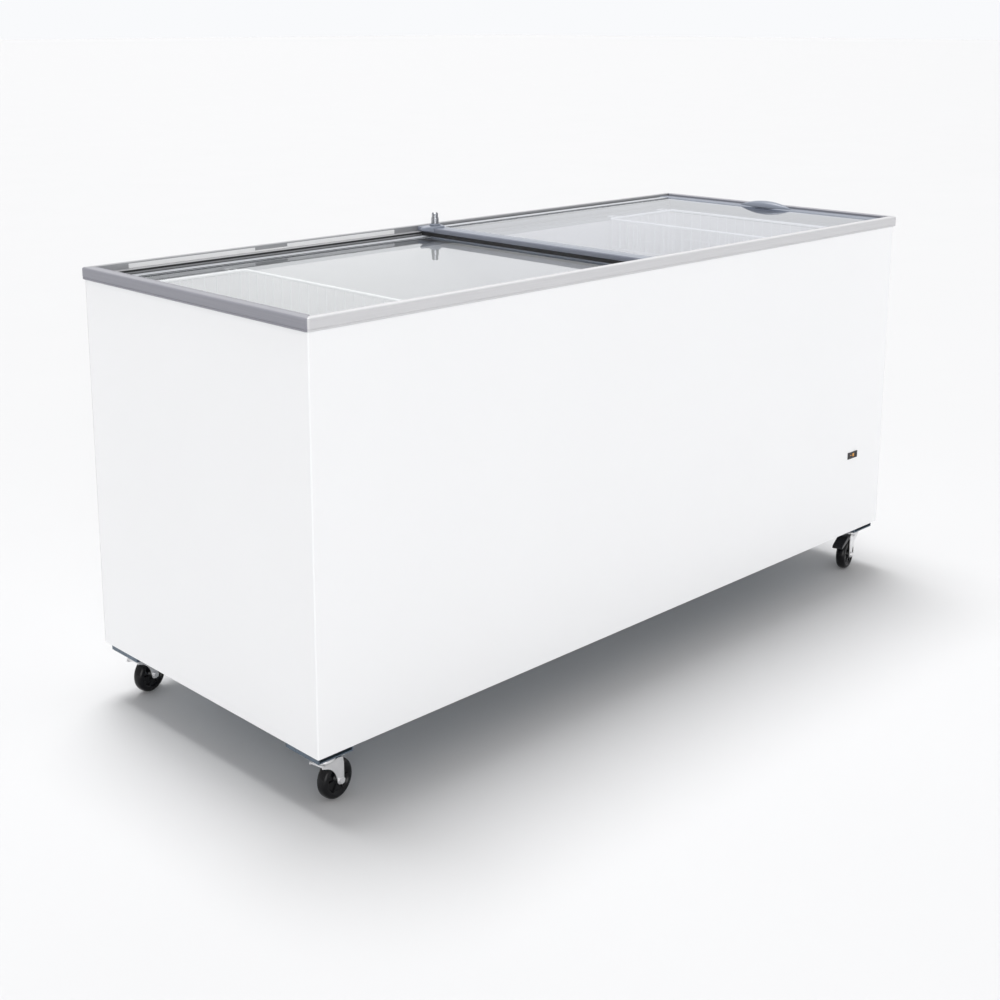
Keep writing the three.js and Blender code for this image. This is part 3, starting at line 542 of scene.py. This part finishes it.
def build_frame():
    rail("frame_rail_front_profile", rail_section(True), HALF_X, HALF_Y, 0, "satin_aluminium")
    # The rear rail takes the darker copy of the aluminium: painted shade.
    rail("frame_rail_rear_profile", rail_section(True), HALF_X, HALF_Y, 180, "rear_rail_painted_shade")
    rail("frame_rail_left_profile", rail_section(False), HALF_Y, HALF_X, -90, "grey_plastic")
    rail("frame_rail_right_profile", rail_section(False), HALF_Y, HALF_X, 90, "grey_plastic")
    # Black strips along the step between the two tracks: painted shadow in the gap between the
    # lower lid's edge and the step wall.
    end_x, gap_shade_y, gap_shade_z = 862, (318.2, 319.1), (863.4, 867.2)
    for name, side in (("front", -1), ("rear", 1)):
        gap_shade = Shape()
        gap_shade.box((-end_x, end_x), sorted(side * y for y in gap_shade_y), gap_shade_z)
        piece(name + "_track_gap_shade", gap_shade, "rubber", "cabinet", bevel=0.2)


# ------------------------------------------------------------------ storage space
def build_liner():
    """Open-topped tub with a step over the machine compartment and rounded corners."""
    shape = Shape()
    profile = [(-STORE_X, STORE_FLOOR), (STEP_X, STORE_FLOOR), (STEP_X, STEP_TOP),
               (STORE_X, STEP_TOP), (STORE_X, RAIL_BOTTOM), (-STORE_X, RAIL_BOTTOM)]
    shape.prism(profile, along_y, -STORE_Y, STORE_Y)
    bm = shape.bm
    bmesh.ops.recalc_face_normals(bm, faces=bm.faces)
    rim = RAIL_BOTTOM * MM - 1e-5
    top = [f for f in bm.faces if all(v.co.z > rim for v in f.verts)]
    bmesh.ops.delete(bm, geom=top, context="FACES")
    nose = (STEP_X * MM, STEP_TOP * MM)
    edges = [e for e in bm.edges if not e.is_boundary
             and any(abs(v.co.x - nose[0]) + abs(v.co.z - nose[1]) > 1e-4 for v in e.verts)]
    bmesh.ops.bevel(bm, geom=edges, offset=30 * MM, segments=7, profile=0.5,
                    affect="EDGES", clamp_overlap=True)
    bmesh.ops.reverse_faces(bm, faces=bm.faces)
    obj = add_object("liner_shell", bm, LOOKS["liner_white"], smooth=50)
    thicken(obj, 1.4)
    even_normals(obj)
    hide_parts("inner_liner")
    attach(obj, "cabinet")


def build_basket(name, centre):
    """Wire basket: U wires both ways, level rings, a thick rim and four hooks."""
    half_x, half_y, floor, rim = 129.0, 277.0, 620.6, 847.0
    wires_across, wires_lengthways = 20, 9
    shape = Shape()
    for i in range(wires_across):
        y = (half_y - 12) * (2 * i / (wires_across - 1) - 1)
        add_u_wire(shape, centre, half_x, y, floor, rim, False)
    for i in range(wires_lengthways):
        x = (half_x - 14) * (2 * i / (wires_lengthways - 1) - 1)
        add_u_wire(shape, centre + x, half_y, 0, floor + 2.4, rim, True)
    for z in (floor + 40, floor + 95, floor + 150):
        shape.tube(ring_points(centre, half_x - 2.6, half_y - 2.6, z, 12), 1.3, 6, loop=True)
    shape.tube(ring_points(centre, half_x - 2.0, half_y - 2.0, rim - 2.2, 12), 3.0, 10, loop=True)
    for end in (-1, 1):
        for side in (-1, 1):
            add_hook(shape, centre + end * 100, side)
    piece(name + "_wires", shape, "white_wire", name, name, smooth=60)


def add_u_wire(shape, centre, half, at, floor, rim, lengthways):
    """One wire down a wall, across the floor and up the other wall, with round corners."""
    bend = 10.0
    side = [(-half + 1.3, rim - 3), (-half + 1.3, floor + bend + 1.3)]
    side += [(-half + 1.3 + bend + cx, floor + 1.3 + bend + cz)
             for cx, cz in arc(0, 0, bend, 180, 270, 4)[1:]]
    side += [(-a, z) for a, z in reversed(side)]
    if lengthways:
        points = [(centre, a, z) for a, z in side]
    else:
        points = [(centre + a, at, z) for a, z in side]
    shape.tube(points, 1.3, 6)


def ring_points(centre, half_x, half_y, z, radius):
    points = []
    for cx, cy, start in ((1, 1, 0), (-1, 1, 90), (-1, -1, 180), (1, -1, 270)):
        corner = arc(cx * (half_x - radius), cy * (half_y - radius), radius,
                     start, start + 90, 4)
        points += [(centre + x, y, z) for x, y in corner]
    return points


def add_hook(shape, x, side):
    """Wire loop from the rim out over the ledge."""
    for offset in (-9, 9):
        points = [(x + offset, side * 274, 838), (x + offset, side * 277, 844),
                  (x + offset, side * 281, 848), (x + offset, side * 297, 848)]
        shape.tube(points, 1.4, 8)
    shape.tube([(x - 9, side * 297, 848), (x, side * 298, 848), (x + 9, side * 297, 848)], 1.4, 8)


# ------------------------------------------------------------------ lids
def edge_channel(shape, y_edge, width, z, x0, x1, side):
    """Thin channel over a pane's long edge: a flat strip with a fine groove along each side."""
    height = 1.0
    steps = [(0, 0), (0, height), (2.5, height), (2.9, height - 0.7), (4.6, height - 0.7),
             (5, height), (width - 6, height), (width - 5.6, height - 0.7),
             (width - 4, height - 0.7), (width - 3.6, height), (width, height - 0.2), (width, 0)]
    outline = [(side * (y_edge - a), z + b) for a, b in steps]
    shape.prism(outline, along_x, x0, x1)


def edge_seals(shape, y_edge, width, z, x0, x1, side):
    """Dark seal along each side of a channel."""
    for start in (0.3, width - 3.4):
        near, far = side * (y_edge - start), side * (y_edge - start - 3.0)
        shape.box((x0, x1), (min(near, far), max(near, far)), (z + 1.02, z + 1.5))


def middle(node):
    """Centre of a node's box in plan, in mm."""
    low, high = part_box(node)
    return 500 * (low[0] + high[0]), 500 * (low[1] + high[1])


LOCK_X, LOCK_Y = middle("lock_barrel")
BAR_LEFT, BOSS_TOP = -43.0, TOP + 4


def add_lid_edges(lid, y_edge, pane_top, channel_x, seal_x):
    """Channels with seals over both long edges of a pane, the rear one the wider."""
    channel = Shape()
    seals = Shape()
    for width, side in ((33, 1), (14, -1)):
        edge_channel(channel, y_edge, width, pane_top, *channel_x, side)
        edge_seals(seals, y_edge, width, pane_top, *seal_x, side)
    piece(lid + "_edge_channels", channel, "edge_grey", lid)
    piece(lid + "_edge_seals", seals, "rubber", lid, bevel=0.15)


def build_lower_lid():
    channel_end, seal_end = -42.5, -44.5
    add_lid_edges("lower_lid", LOWER_LID_Y, LOWER_PANE_TOP, (-LID_END_X, channel_end),
                  (-LID_END_X, seal_end))


def build_upper_lid():
    start = BAR_LEFT
    bar = Shape()
    section = [(5.4, 868.7), (5.4, 878.4), (6.2, 879), (17, 879), (17.5, 878.3), (18.5, 878.3),
               (19, 879), (39, 879), (40.5, 878.2), (43.5, 875.4), (47, 874.4), (47, 868.7)]
    bar.prism([(start + a, b) for a, b in section], along_y, -UPPER_LID_Y, UPPER_LID_Y)
    piece("upper_lid_front_profile", bar, "slate_plastic", "upper_lid",
          "upper_lid_left_profile", bevel=0.4)
    # Dark strip down the bar's left face: partly a seal, partly painted shade of the bar's side.
    seal_and_shade = Shape()
    section = [(0.2, 868.8), (0, 869.6), (0, 876.6), (1.0, 878.2), (2.4, 878.6), (2.8, 878.0),
               (4.0, 878.0), (4.4, 878.6), (5.2, 878.6), (5.2, 868.8)]
    end_y = UPPER_LID_Y - 0.4
    seal_and_shade.prism([(start + a, b) for a, b in section], along_y, -end_y, end_y)
    piece("upper_lid_front_seal_and_shade", seal_and_shade, "slate_seal_and_shade", "upper_lid", bevel=0.3)
    build_boss()
    edge_x = (4.5, LID_END_X)
    add_lid_edges("upper_lid", UPPER_LID_Y, UPPER_PANE_TOP, edge_x, edge_x)
    build_end_bar()
    build_handle()


def teardrop(inset, steps=10):
    """Plan of the lock boss: a wide round under the lock that tapers to a small round tip."""
    tip_x, wide_x, y = LOCK_X - 40.5, LOCK_X + 4.0, LOCK_Y
    tip, wide = 3.5 - inset, 19.0 - inset
    lean = math.degrees(math.asin((wide - tip) / (wide_x - tip_x)))
    right = arc(wide_x, y, wide, -90 - lean, 90 + lean, steps)
    left = arc(tip_x, y, tip, 90 + lean, 270 - lean, steps)
    return right + left


def build_boss():
    """Boss that carries the lock: deep under it, a thin beak where it reaches past the bar."""
    shape = Shape()
    beak_rise, nose_drop = 0.28, 0.07
    levels = [(0.0, 869.2), (0.0, BOSS_TOP - 3), (0.4, BOSS_TOP - 1.6), (1.4, BOSS_TOP - 0.5),
              (3.0, BOSS_TOP)]
    rows = []
    for k, (inset, z) in enumerate(levels):
        lift = beak_rise if k == 0 else -nose_drop
        rows.append([(x, y, z + lift * max(0.0, BAR_LEFT - x)) for x, y in teardrop(inset)])
    made = shape.grid(rows, closed_row=True)
    shape.face(list(reversed(made[0])))
    shape.face(made[-1])
    piece("upper_lid_lock_boss", shape, "slate_plastic", "upper_lid", smooth=50)


def build_end_bar():
    """Right end profile of the upper lid, with two run-off grooves."""
    shape = Shape()
    x0, x1 = 832.0, 864.0
    section = [(x0, 868.7), (x0, 873.6), (x0 + 2.5, 875.0), (x0 + 4, 875.6), (x0 + 6, 875.6),
               (x0 + 6.4, 875.0), (x0 + 7.6, 875.0), (x0 + 8, 875.6), (x1 - 7, 875.6),
               (x1 - 6.6, 875.0), (x1 - 5.4, 875.0), (x1 - 5, 875.6), (x1 - 1, 875.6),
               (x1, 874.6), (x1, 868.7)]
    shape.prism(section, along_y, -UPPER_LID_Y, UPPER_LID_Y)
    piece("upper_lid_end_profile", shape, "slate_plastic", "upper_lid",
          "upper_lid_right_profile", bevel=0.3)


def build_handle():
    """Almond-shaped push grip, domed both ways, with a fine skirt line."""
    shape = Shape()
    x0, base, length, half_width, rise = 848.0, 875.9, 78.0, 16.8, 15.0
    columns, rings = 28, 8
    rows = []
    for i in range(columns + 1):
        t = -1 + 2 * i / columns
        half = max(0.02, half_width * (1 - t * t))
        crown = rise * (1 - t * t)
        row = [(x0 - half, t * length, base), (x0 - half, t * length, base + 0.14 * crown)]
        for k in range(1, rings):
            angle = pi * k / rings
            row.append((x0 - half * cos(angle) * 0.97, t * length,
                        base + crown * (0.16 + 0.84 * sin(angle) ** 0.8)))
        row += [(x0 + half, t * length, base + 0.14 * crown), (x0 + half, t * length, base)]
        rows.append(row)
    shape.grid(rows, closed_row=True)
    piece("upper_lid_push_grip", shape, "slate_plastic", "upper_lid", "upper_lid_handle",
          smooth=50)


def build_lock():
    x, y, base = LOCK_X, LOCK_Y, BOSS_TOP
    collar = Shape()
    profile = [(8.9, 0.3), (12.3, 0.3), (12.5, 0.8), (12.5, 2.8), (12.0, 3.6), (11.0, 4.0),
               (9.2, 4.2)]
    collar.lathe([(r, base + h) for r, h in profile] + [(8.9, base + 4.2)], upright(x, y), 48,
                 closed=True)
    piece("lock_collar_ring", collar, "slate_plastic", "upper_lid")
    barrel = Shape()
    outside = [(7.7, 0.4), (8.5, 0.4), (8.5, 5.0), (8.2, 5.3), (8.2, 6.1), (8.5, 6.4),
               (8.4, 15.6), (8.1, 17.2), (7.8, 17.9), (7.6, 18.0)]
    barrel.lathe([(r, base + h) for r, h in outside] + [(7.6, base + 0.4)], upright(x, y), 48,
                 closed=True)
    piece("lock_barrel_turned", barrel, "chrome", "upper_lid", "lock_barrel")
    plunger = Shape()
    profile = [(3.4, 860.7), (4.0, 861.4), (4.0, base + 12), (7.2, base + 12.2),
               (7.1, base + 26.8), (6.6, base + 28.3), (5.6, base + 29), (4.9, base + 29),
               (4.8, base + 18)]
    plunger.lathe(profile, upright(x, y), 48)
    piece("lock_plunger_turned", plunger, "chrome", "lock_plunger", "lock_plunger")
    plug = Shape()
    profile = [(4.4, base + 18.5), (4.4, base + 29.0), (4.1, base + 29.4), (3.4, base + 29.5)]
    plug.lathe(profile, upright(x, y), 32)
    piece("lock_key_face", plug, "chrome", "lock_key_plug", "lock_key_plug")
    slot = Shape()
    slot.box((x - 0.6, x + 0.6), (y - 2.9, y + 2.9), (base + 27, base + 29.56))
    piece("lock_keyway", slot, "black_plastic", "lock_key_plug")


# ------------------------------------------------------------------ display
DIGIT_BARS = {"1": "bc", "8": "abcdefg", "-": "g"}


def add_digit(shape, sign, x, z, y):
    """Seven-segment figure; x, z is its lower left corner."""
    width, height, bar = 4.2, 7.0, 0.85
    mid = height / 2
    spans = {
        "a": (0.5, width - 0.5, height - bar, height), "d": (0.5, width - 0.5, 0, bar),
        "g": (0.5, width - 0.5, mid - bar / 2, mid + bar / 2),
        "f": (0, bar, mid + 0.3, height - 0.3), "e": (0, bar, 0.3, mid - 0.3),
        "b": (width - bar, width, mid + 0.3, height - 0.3),
        "c": (width - bar, width, 0.3, mid - 0.3),
    }
    for key in DIGIT_BARS[sign]:
        a0, a1, b0, b1 = spans[key]
        shape.box((x + a0, x + a1), (y - 0.12, y), (z + b0, z + b1))


def build_display():
    """Bezel, window and generic digits."""
    face = -CAB_Y

    def outline(half_x, half_z, radius):
        return rounded_outline(DISPLAY_X, DISPLAY_Z, half_x, half_z, radius)

    bezel = Shape()
    outer = outline(20, 8, 2.4)
    inner = outline(15.4, 5.0, 1.0)
    levels = [(outer, face), (outer, face - 1.1), (outline(19.6, 7.6, 2.2), face - 1.5),
              (outline(15.8, 5.4, 1.2), face - 1.4), (inner, face - 1.0), (inner, face)]
    bezel.grid([[(x, y, z) for x, z in ring] for ring, y in levels], closed_row=True,
               closed_column=True)
    piece("display_bezel", bezel, "black_plastic", "cabinet")
    window = Shape()
    window.prism(inner, along_y, face - 0.75, face - 0.2)
    piece("display_window", window, "display", "cabinet", "display_lens", bevel=0.1)
    digits = Shape()
    for sign, x in (("-", 745.8), ("1", 751.2), ("8", 757.2)):
        add_digit(digits, sign, x, 309.0, face - 0.76)
    piece("display_digits", digits, "amber", "cabinet")


def rounded_outline(cx, cz, half_x, half_z, radius):
    points = []
    for sx, sz, start in ((1, 1, 0), (-1, 1, 90), (-1, -1, 180), (1, -1, 270)):
        points += arc(cx + sx * (half_x - radius), cz + sz * (half_z - radius), radius,
                      start, start + 90, 4)
    return points


# ------------------------------------------------------------------ machine compartment
def build_compressor():
    x, y, base = 690, 190, 133.3
    can = Shape()
    half = [(20, 0), (48, 1), (62, 6), (71, 16), (75, 30), (76, 44), (76, 76), (79.6, 78),
            (80, 80), (80, 85), (79.4, 87), (75.4, 88)]
    crown = [(75 * cos(radians(a)), 92 + 78 * sin(radians(a))) for a in range(4, 84, 8)]
    can.lathe([(r, base + h) for r, h in half + crown + [(3, 170.5)]], upright(x, y), 56)
    can.box((x + 62, x + 92), (y - 22, y + 22), (base + 46, base + 94))
    piece("compressor_shell", can, "black_paint", "cabinet", "compressor", bevel=1.2, smooth=40)
    pipes = Shape()
    for dy, rise in ((-34, 60), (0, 52), (34, 66)):
        points = [(x - 66, y + dy, base + 44), (x - 84, y + dy, base + 46),
                  (x - 92, y + dy, base + 56), (x - 93, y + dy, base + 56 + rise)]
        pipes.tube(points, 3.2, 10)
    piece("compressor_stub_pipes", pipes, "copper", "cabinet", smooth=60)


def build_condenser_fins():
    """Fins, casing and straight tubes, in the place of the condenser block."""
    x0, x1, z0, z1 = 812, 866, 135, 355
    y0, y1 = CONDENSER_Y
    wall, fin_count, pitch = 1.4, 62, 3.95
    shape = Shape()
    for i in range(fin_count):
        y = y0 + 4 + i * pitch
        shape.box((x0 + 6, x1 - 4), (y, y + 0.5), (z0 + 6, z1 - 5))
    piece("condenser_fins", shape, "black_paint", "cabinet")
    casing = Shape()
    for y in (y0, y1 - wall):
        casing.box((x0, x1), (y, y + wall), (z0, z1))
    for z in (z0, z1 - wall):
        casing.box((x0, x1), (y0, y1), (z, z + wall))
    for y in (y0, y1 - 20):
        casing.box((x0 + 5, x1 - 5), (y, y + 20), (117, z0 + 0.6))
    piece("condenser_casing", casing, "galvanised", "cabinet", "condenser", bevel=0.3)
    tubes = Shape()
    for i in range(8):
        z = 152 + 26 * i
        for x in (828, 852):
            tubes.tube([(x, y, z) for y in (y0 - 1.5, (y0 + y1) / 2, y1 + 1.5)], 4.0, 8)
    piece("condenser_tubes", tubes, "copper", "cabinet", smooth=60)


def build_fan():
    shape = Shape()
    cx, cy, cz = 797.0, -125.0, 245.0
    shape.lathe([(4.5, cx - 8.8), (22, cx - 8.8), (24, cx - 6.5), (24, cx + 7), (21, cx + 9.2),
                 (8, cx + 9.2), (4.5, cx + 8)], lengthwise(cy, cz), 40)
    for i in range(5):
        add_blade(shape, cx, cy, cz, 2 * pi * i / 5)
    piece("fan_blades", shape, "black_plastic", "fan", "fan_rotor", smooth=50)


def add_blade(shape, cx, cy, cz, angle):
    """Twisted blade: steep at the hub and flatter towards the tip."""
    for face in (-0.9, 0.9):
        rows = []
        for i in range(8):
            radius = 21 + 66 * i / 7
            pitch = radians(38 - 20 * i / 7)
            chord = 15 + 7 * sin(pi * (i + 1) / 9)
            row = []
            for k in range(7):
                s = -1 + k / 3
                along = s * chord
                sweep = angle + along * cos(pitch) / radius
                depth = along * sin(pitch) * 0.62 + face * (1 - 0.8 * s * s)
                row.append((cx + max(-8.6, min(8.6, depth)), cy + radius * cos(sweep),
                            cz + radius * sin(sweep)))
            rows.append(row)
        shape.grid(rows)


# ------------------------------------------------------------------ castors
# A castor is drawn with its swivel axis on Z and its wheel TRAIL away along X.
TRAIL, HUB_Z = 28.0, 37.5
# Name, side in X, side in Y, heading in degrees, and whether it has a brake.
CASTORS = (
    ("front_left", -1, -1, 9.0, False),
    ("front_right", 1, -1, 192.7, True),
    ("rear_left", -1, 1, 15.0, False),
    ("rear_right", 1, 1, 168.0, True),
)


def hexagon(radius, turn=0.0):
    return [(radius * cos(radians(60 * k + turn)), radius * sin(radians(60 * k + turn)))
            for k in range(6)]


def build_wheel(name, at):
    """Moulded wheel: round tread, raised hub and a recessed web with ribs."""
    shape = Shape(at)
    half = [(4.9, 12.2), (8.6, 12.2), (9.6, 11.6), (10.6, 9.2), (12.2, 7.6), (22.4, 7.2),
            (24.6, 8.2), (26.2, 10.6), (28.0, 11.6), (31.4, 11.4), (34.2, 10.2), (36.2, 8.0),
            (37.2, 5.0), (37.5, 1.8)]
    profile = [(r, h) for r, h in half] + [(r, -h) for r, h in reversed(half)]
    shape.lathe(profile, across(TRAIL, HUB_Z), 64, closed=True)
    for k in range(6):
        add_spoke(shape, 60 * k)
    piece(name + "_wheel_moulded", shape, "black_wheel", name + "_roller", name + "_wheel",
          smooth=40)


def add_spoke(shape, degrees):
    """Rib across the recessed web of the wheel, on both faces."""
    c, s = cos(radians(degrees)), sin(radians(degrees))

    def place(a, b, t):
        return (TRAIL + a * c - b * s, t, HUB_Z + a * s + b * c)

    outline = [(10.5, -1.4), (25, -1.1), (25, 1.1), (10.5, 1.4)]
    for side in (-1, 1):
        shape.prism(outline, place, side * 7.0, side * 9.6)


def leg_outline(braked):
    """Side of the fork: straight behind, and swept from the head down to the axle in front."""
    foot, sweep_points = 8.2, 12
    points = arc(TRAIL, HUB_Z, foot, 180, 360, 12)
    points += [(TRAIL + foot, 69), (TRAIL + foot - 1, 72), (TRAIL + foot - 2, 79)]
    if braked:
        points += [(TRAIL + foot, 82), (TRAIL + foot, 85.5), (TRAIL + foot - 2, 87),
                   (TRAIL - foot + 2, 87), (TRAIL - foot, 85.5)]
    points += [(TRAIL - foot + 3, 82), (-17, 82), (-19, 80), (-18.5, 76.5)]
    sweep = ((-17, 75), (15, 68), (TRAIL - foot, HUB_Z))
    for i in range(1, sweep_points + 1):
        t = i / (sweep_points + 1)
        shares = ((1 - t) ** 2, 2 * t * (1 - t), t * t)
        points.append(tuple(sum(w * p[k] for w, p in zip(shares, sweep)) for k in (0, 1)))
    return points


def build_fork(name, at, braked):
    """Two legs under a crown, and the turned swivel head over it."""
    shape = Shape(at)
    for y0, y1 in ((-16, -13.5), (13.5, 16)):
        shape.prism(leg_outline(braked), along_y, y0, y1)
    crown = [(-19, -12), (-16, -16), (16, -16), (16, 16), (-16, 16), (-19, 12)]
    shape.prism(crown, along_z, 79.2, 82)
    piece(name + "_fork_pressed", shape, "zinc", name + "_swivel", name + "_fork", bevel=0.7,
          smooth=40)
    head = Shape(at)
    profile = [(0.5, 81.8), (17.4, 81.8), (20.0, 82.8), (21.6, 85.4), (21.6, 87.6),
               (20.2, 89.4), (17.6, 90.0), (17.4, 90.8), (21.8, 91.4), (22.6, 92.6),
               (22.6, 94.6), (21.4, 96.0), (18.0, 96.6), (0.5, 96.6)]
    head.lathe(profile, upright(0, 0), 56)
    piece(name + "_swivel_head", head, "zinc", name + "_swivel", smooth=40)


def build_axle(name, at):
    shape = Shape(at)
    turn = across(TRAIL, HUB_Z)
    shape.lathe([(1, -17.4), (4.4, -17.4), (4.4, 17.4), (1, 17.4)], turn, 20)
    shape.prism([(TRAIL + a, HUB_Z + b) for a, b in hexagon(6.8, 12)], along_y, -19.8, -16.3)
    dome = [(7.0, 16.3), (6.9, 17.2), (6.2, 18.6), (4.6, 19.6), (2.2, 20.0), (0.4, 20.0)]
    shape.lathe(dome, turn, 28)
    piece(name + "_axle_bolt", shape, "zinc", name + "_swivel", name + "_axle", bevel=0.3)


def build_pedal(name, at):
    """Wedge pedal over the wheel with grip ribs and rounded edges."""
    shape = Shape(at)
    outline = [(22, 79.4), (22, 86), (24, 87), (42, 87), (46, 86.2), (64, 80.2), (80, 74.0),
               (84, 71.4), (85.6, 67.6), (84.8, 65.6), (80, 66.8), (62, 70.6), (48, 74.6),
               (36, 79.2)]
    shape.prism(outline, along_y, -12.6, 12.6)
    for k in range(6):
        x = 52 + 4.6 * k
        z = 84.4 - (x - 52) * 0.36
        shape.tube([(x, -10.5, z), (x, 10.5, z)], 0.9, 8)
    piece(name + "_pedal_moulded", shape, "black_plastic", name + "_brake",
          name + "_brake_pedal", bevel=1.3, steps=3)


def build_plate(name, at):
    """Top plate and its four bolts."""
    plate = Shape(at)
    plate.prism(rounded_outline(0, 0, 31, 31, 6), along_z, 97, 99.8)
    piece(name + "_top_plate", plate, "zinc", "cabinet", name + "_caster_plate", bevel=0.5)
    bolts = Shape(at)
    for dx in (-24, 24):
        for dy in (-24, 24):
            bolts.prism([(dx + a, dy + b) for a, b in hexagon(4.6)], along_z, 93.6, 96.8)
            bolts.lathe([(5.6, 96.2), (5.6, 96.9), (0.5, 96.9), (0.5, 96.2)], upright(dx, dy), 16)
    piece(name + "_plate_bolts", bolts, "zinc", "cabinet", bevel=0.25)


def build_castors():
    for name, side, end, heading, braked in CASTORS:
        spot = Matrix.Translation((side * CASTOR_X, end * CASTOR_Y, 0))
        at = spot @ Matrix.Rotation(radians(heading), 4, "Z")
        build_wheel(name, at)
        build_fork(name, at, braked)
        build_axle(name, at)
        if braked:
            build_pedal(name, at)
        build_plate(name, spot)


# ------------------------------------------------------------------ frame nodes that stay
# Look and edge round, in mm, of the frame's own solids that stay visible. The castor brackets
# also stay; finish_nodes adds them.
KEPT = {
    "base_tray": ("galvanised", 0.3),
    "foam_insulation": ("foam", 0),
    "evaporator_coil": ("copper", 0),
    "drain_pipe": ("white_plastic", 0.4),
    "drain_plug": ("rubber", 0.8),
    "front_glide_strip": ("white_plastic", 0.4),
    "rear_glide_strip": ("white_plastic", 0.4),
    "controller_body": ("black_plastic", 0),
    "fan_shroud": ("black_paint", 0.5),
    "fan_motor": ("black_paint", 0.8),
    "compressor_mount": ("black_paint", 0.8),
    "cable_gland": ("black_plastic", 0.5),
    "lower_lid_left_profile": ("slate_plastic", 0.5),
    "lower_lid_right_profile": ("slate_plastic", 0.5),
    "lower_lid_glass": ("clear_glass", 0.5),
    "upper_lid_glass": ("shaded_glass", 0.5),
    "upper_lid_wiper_seal": ("rubber", 0.6),
}


def finish_nodes():
    """Gives the solids in KEPT and the castor brackets their look and rounds their edges."""
    for name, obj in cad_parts.items():
        look, width = KEPT.get(name, (None, 0))
        if name.endswith("_caster_bracket"):
            look, width = "bracket_blue", 0.8
        if look is None:
            continue
        for i in range(len(obj.material_slots)):
            obj.material_slots[i].material = LOOKS[look]
        if width:
            round_edges(obj, width)


# ------------------------------------------------------------------ stage
def build_floor():
    """Wide pale floor, level to the horizon."""
    shape = Shape()
    reach = 90000
    shape.grid([[(x, y, 0) for x in (-reach, reach)] for y in (-reach, reach)])
    pale = surface("pale floor", (0.675, 0.677, 0.684), 0.8, tone=0.003, tone_scale=1,
                   grain=60, relief=0.005)
    obj = add_object("studio_floor", shape.bm, pale)


def build_light():
    """Even studio surround: one brightness for light, and the floor's own where it is seen."""
    world = bpy.data.worlds.new("studio")
    world.use_nodes = True
    tree = world.node_tree
    seen = tree.nodes["Background"]
    seen.inputs["Color"].default_value = (0.947, 0.956, 0.973, 1)
    seen.inputs["Strength"].default_value = 1.0
    around = tree.nodes.new("ShaderNodeBackground")
    around.inputs["Color"].default_value = (1.0, 0.995, 0.995, 1)
    around.inputs["Strength"].default_value = 0.60
    mix = tree.nodes.new("ShaderNodeMixShader")
    path = tree.nodes.new("ShaderNodeLightPath")
    link(tree, path.outputs["Is Camera Ray"], mix.inputs["Fac"])
    link(tree, around.outputs["Background"], mix.inputs[1])
    link(tree, seen.outputs["Background"], mix.inputs[2])
    link(tree, mix.outputs["Shader"], tree.nodes["World Output"].inputs["Surface"])
    scene.world = world
    sun("key", 2.28, 27, (radians(-14), radians(4), 0))
    sun("front_fill", 1.66, 50, (radians(86), 0, radians(-36)))
    sun("back_fill", 0.35, 50, (radians(86), 0, radians(140)))


def sun(name, energy, spread_degrees, turn):
    data = bpy.data.lights.new(name, "SUN")
    data.energy = energy
    data.angle = radians(spread_degrees)
    obj = bpy.data.objects.new(name, data)
    obj.rotation_euler = turn
    scene.collection.objects.link(obj)


def build_camera():
    data = bpy.data.cameras.new("camera")
    data.lens = 53.6
    data.sensor_width = 36
    data.shift_x = 0.020
    data.shift_y = -0.165
    data.clip_end = 200
    obj = bpy.data.objects.new("camera", data)
    obj.location = (-2.305, -2.192, 1.344)
    obj.rotation_euler = (radians(90 - 12.0), 0, radians(-44.3))
    scene.collection.objects.link(obj)
    scene.camera = obj


# ------------------------------------------------------------------ assembly
scene.view_settings.view_transform = "Standard"
build_wrap()
build_back()
build_frame()
build_liner()
build_basket("left_basket", -BASKET_X)
build_basket("right_basket", BASKET_X)
build_lower_lid()
build_upper_lid()
build_lock()
build_display()
build_compressor()
build_condenser_fins()
build_fan()
build_castors()
finish_nodes()
build_floor()
build_light()
build_camera()
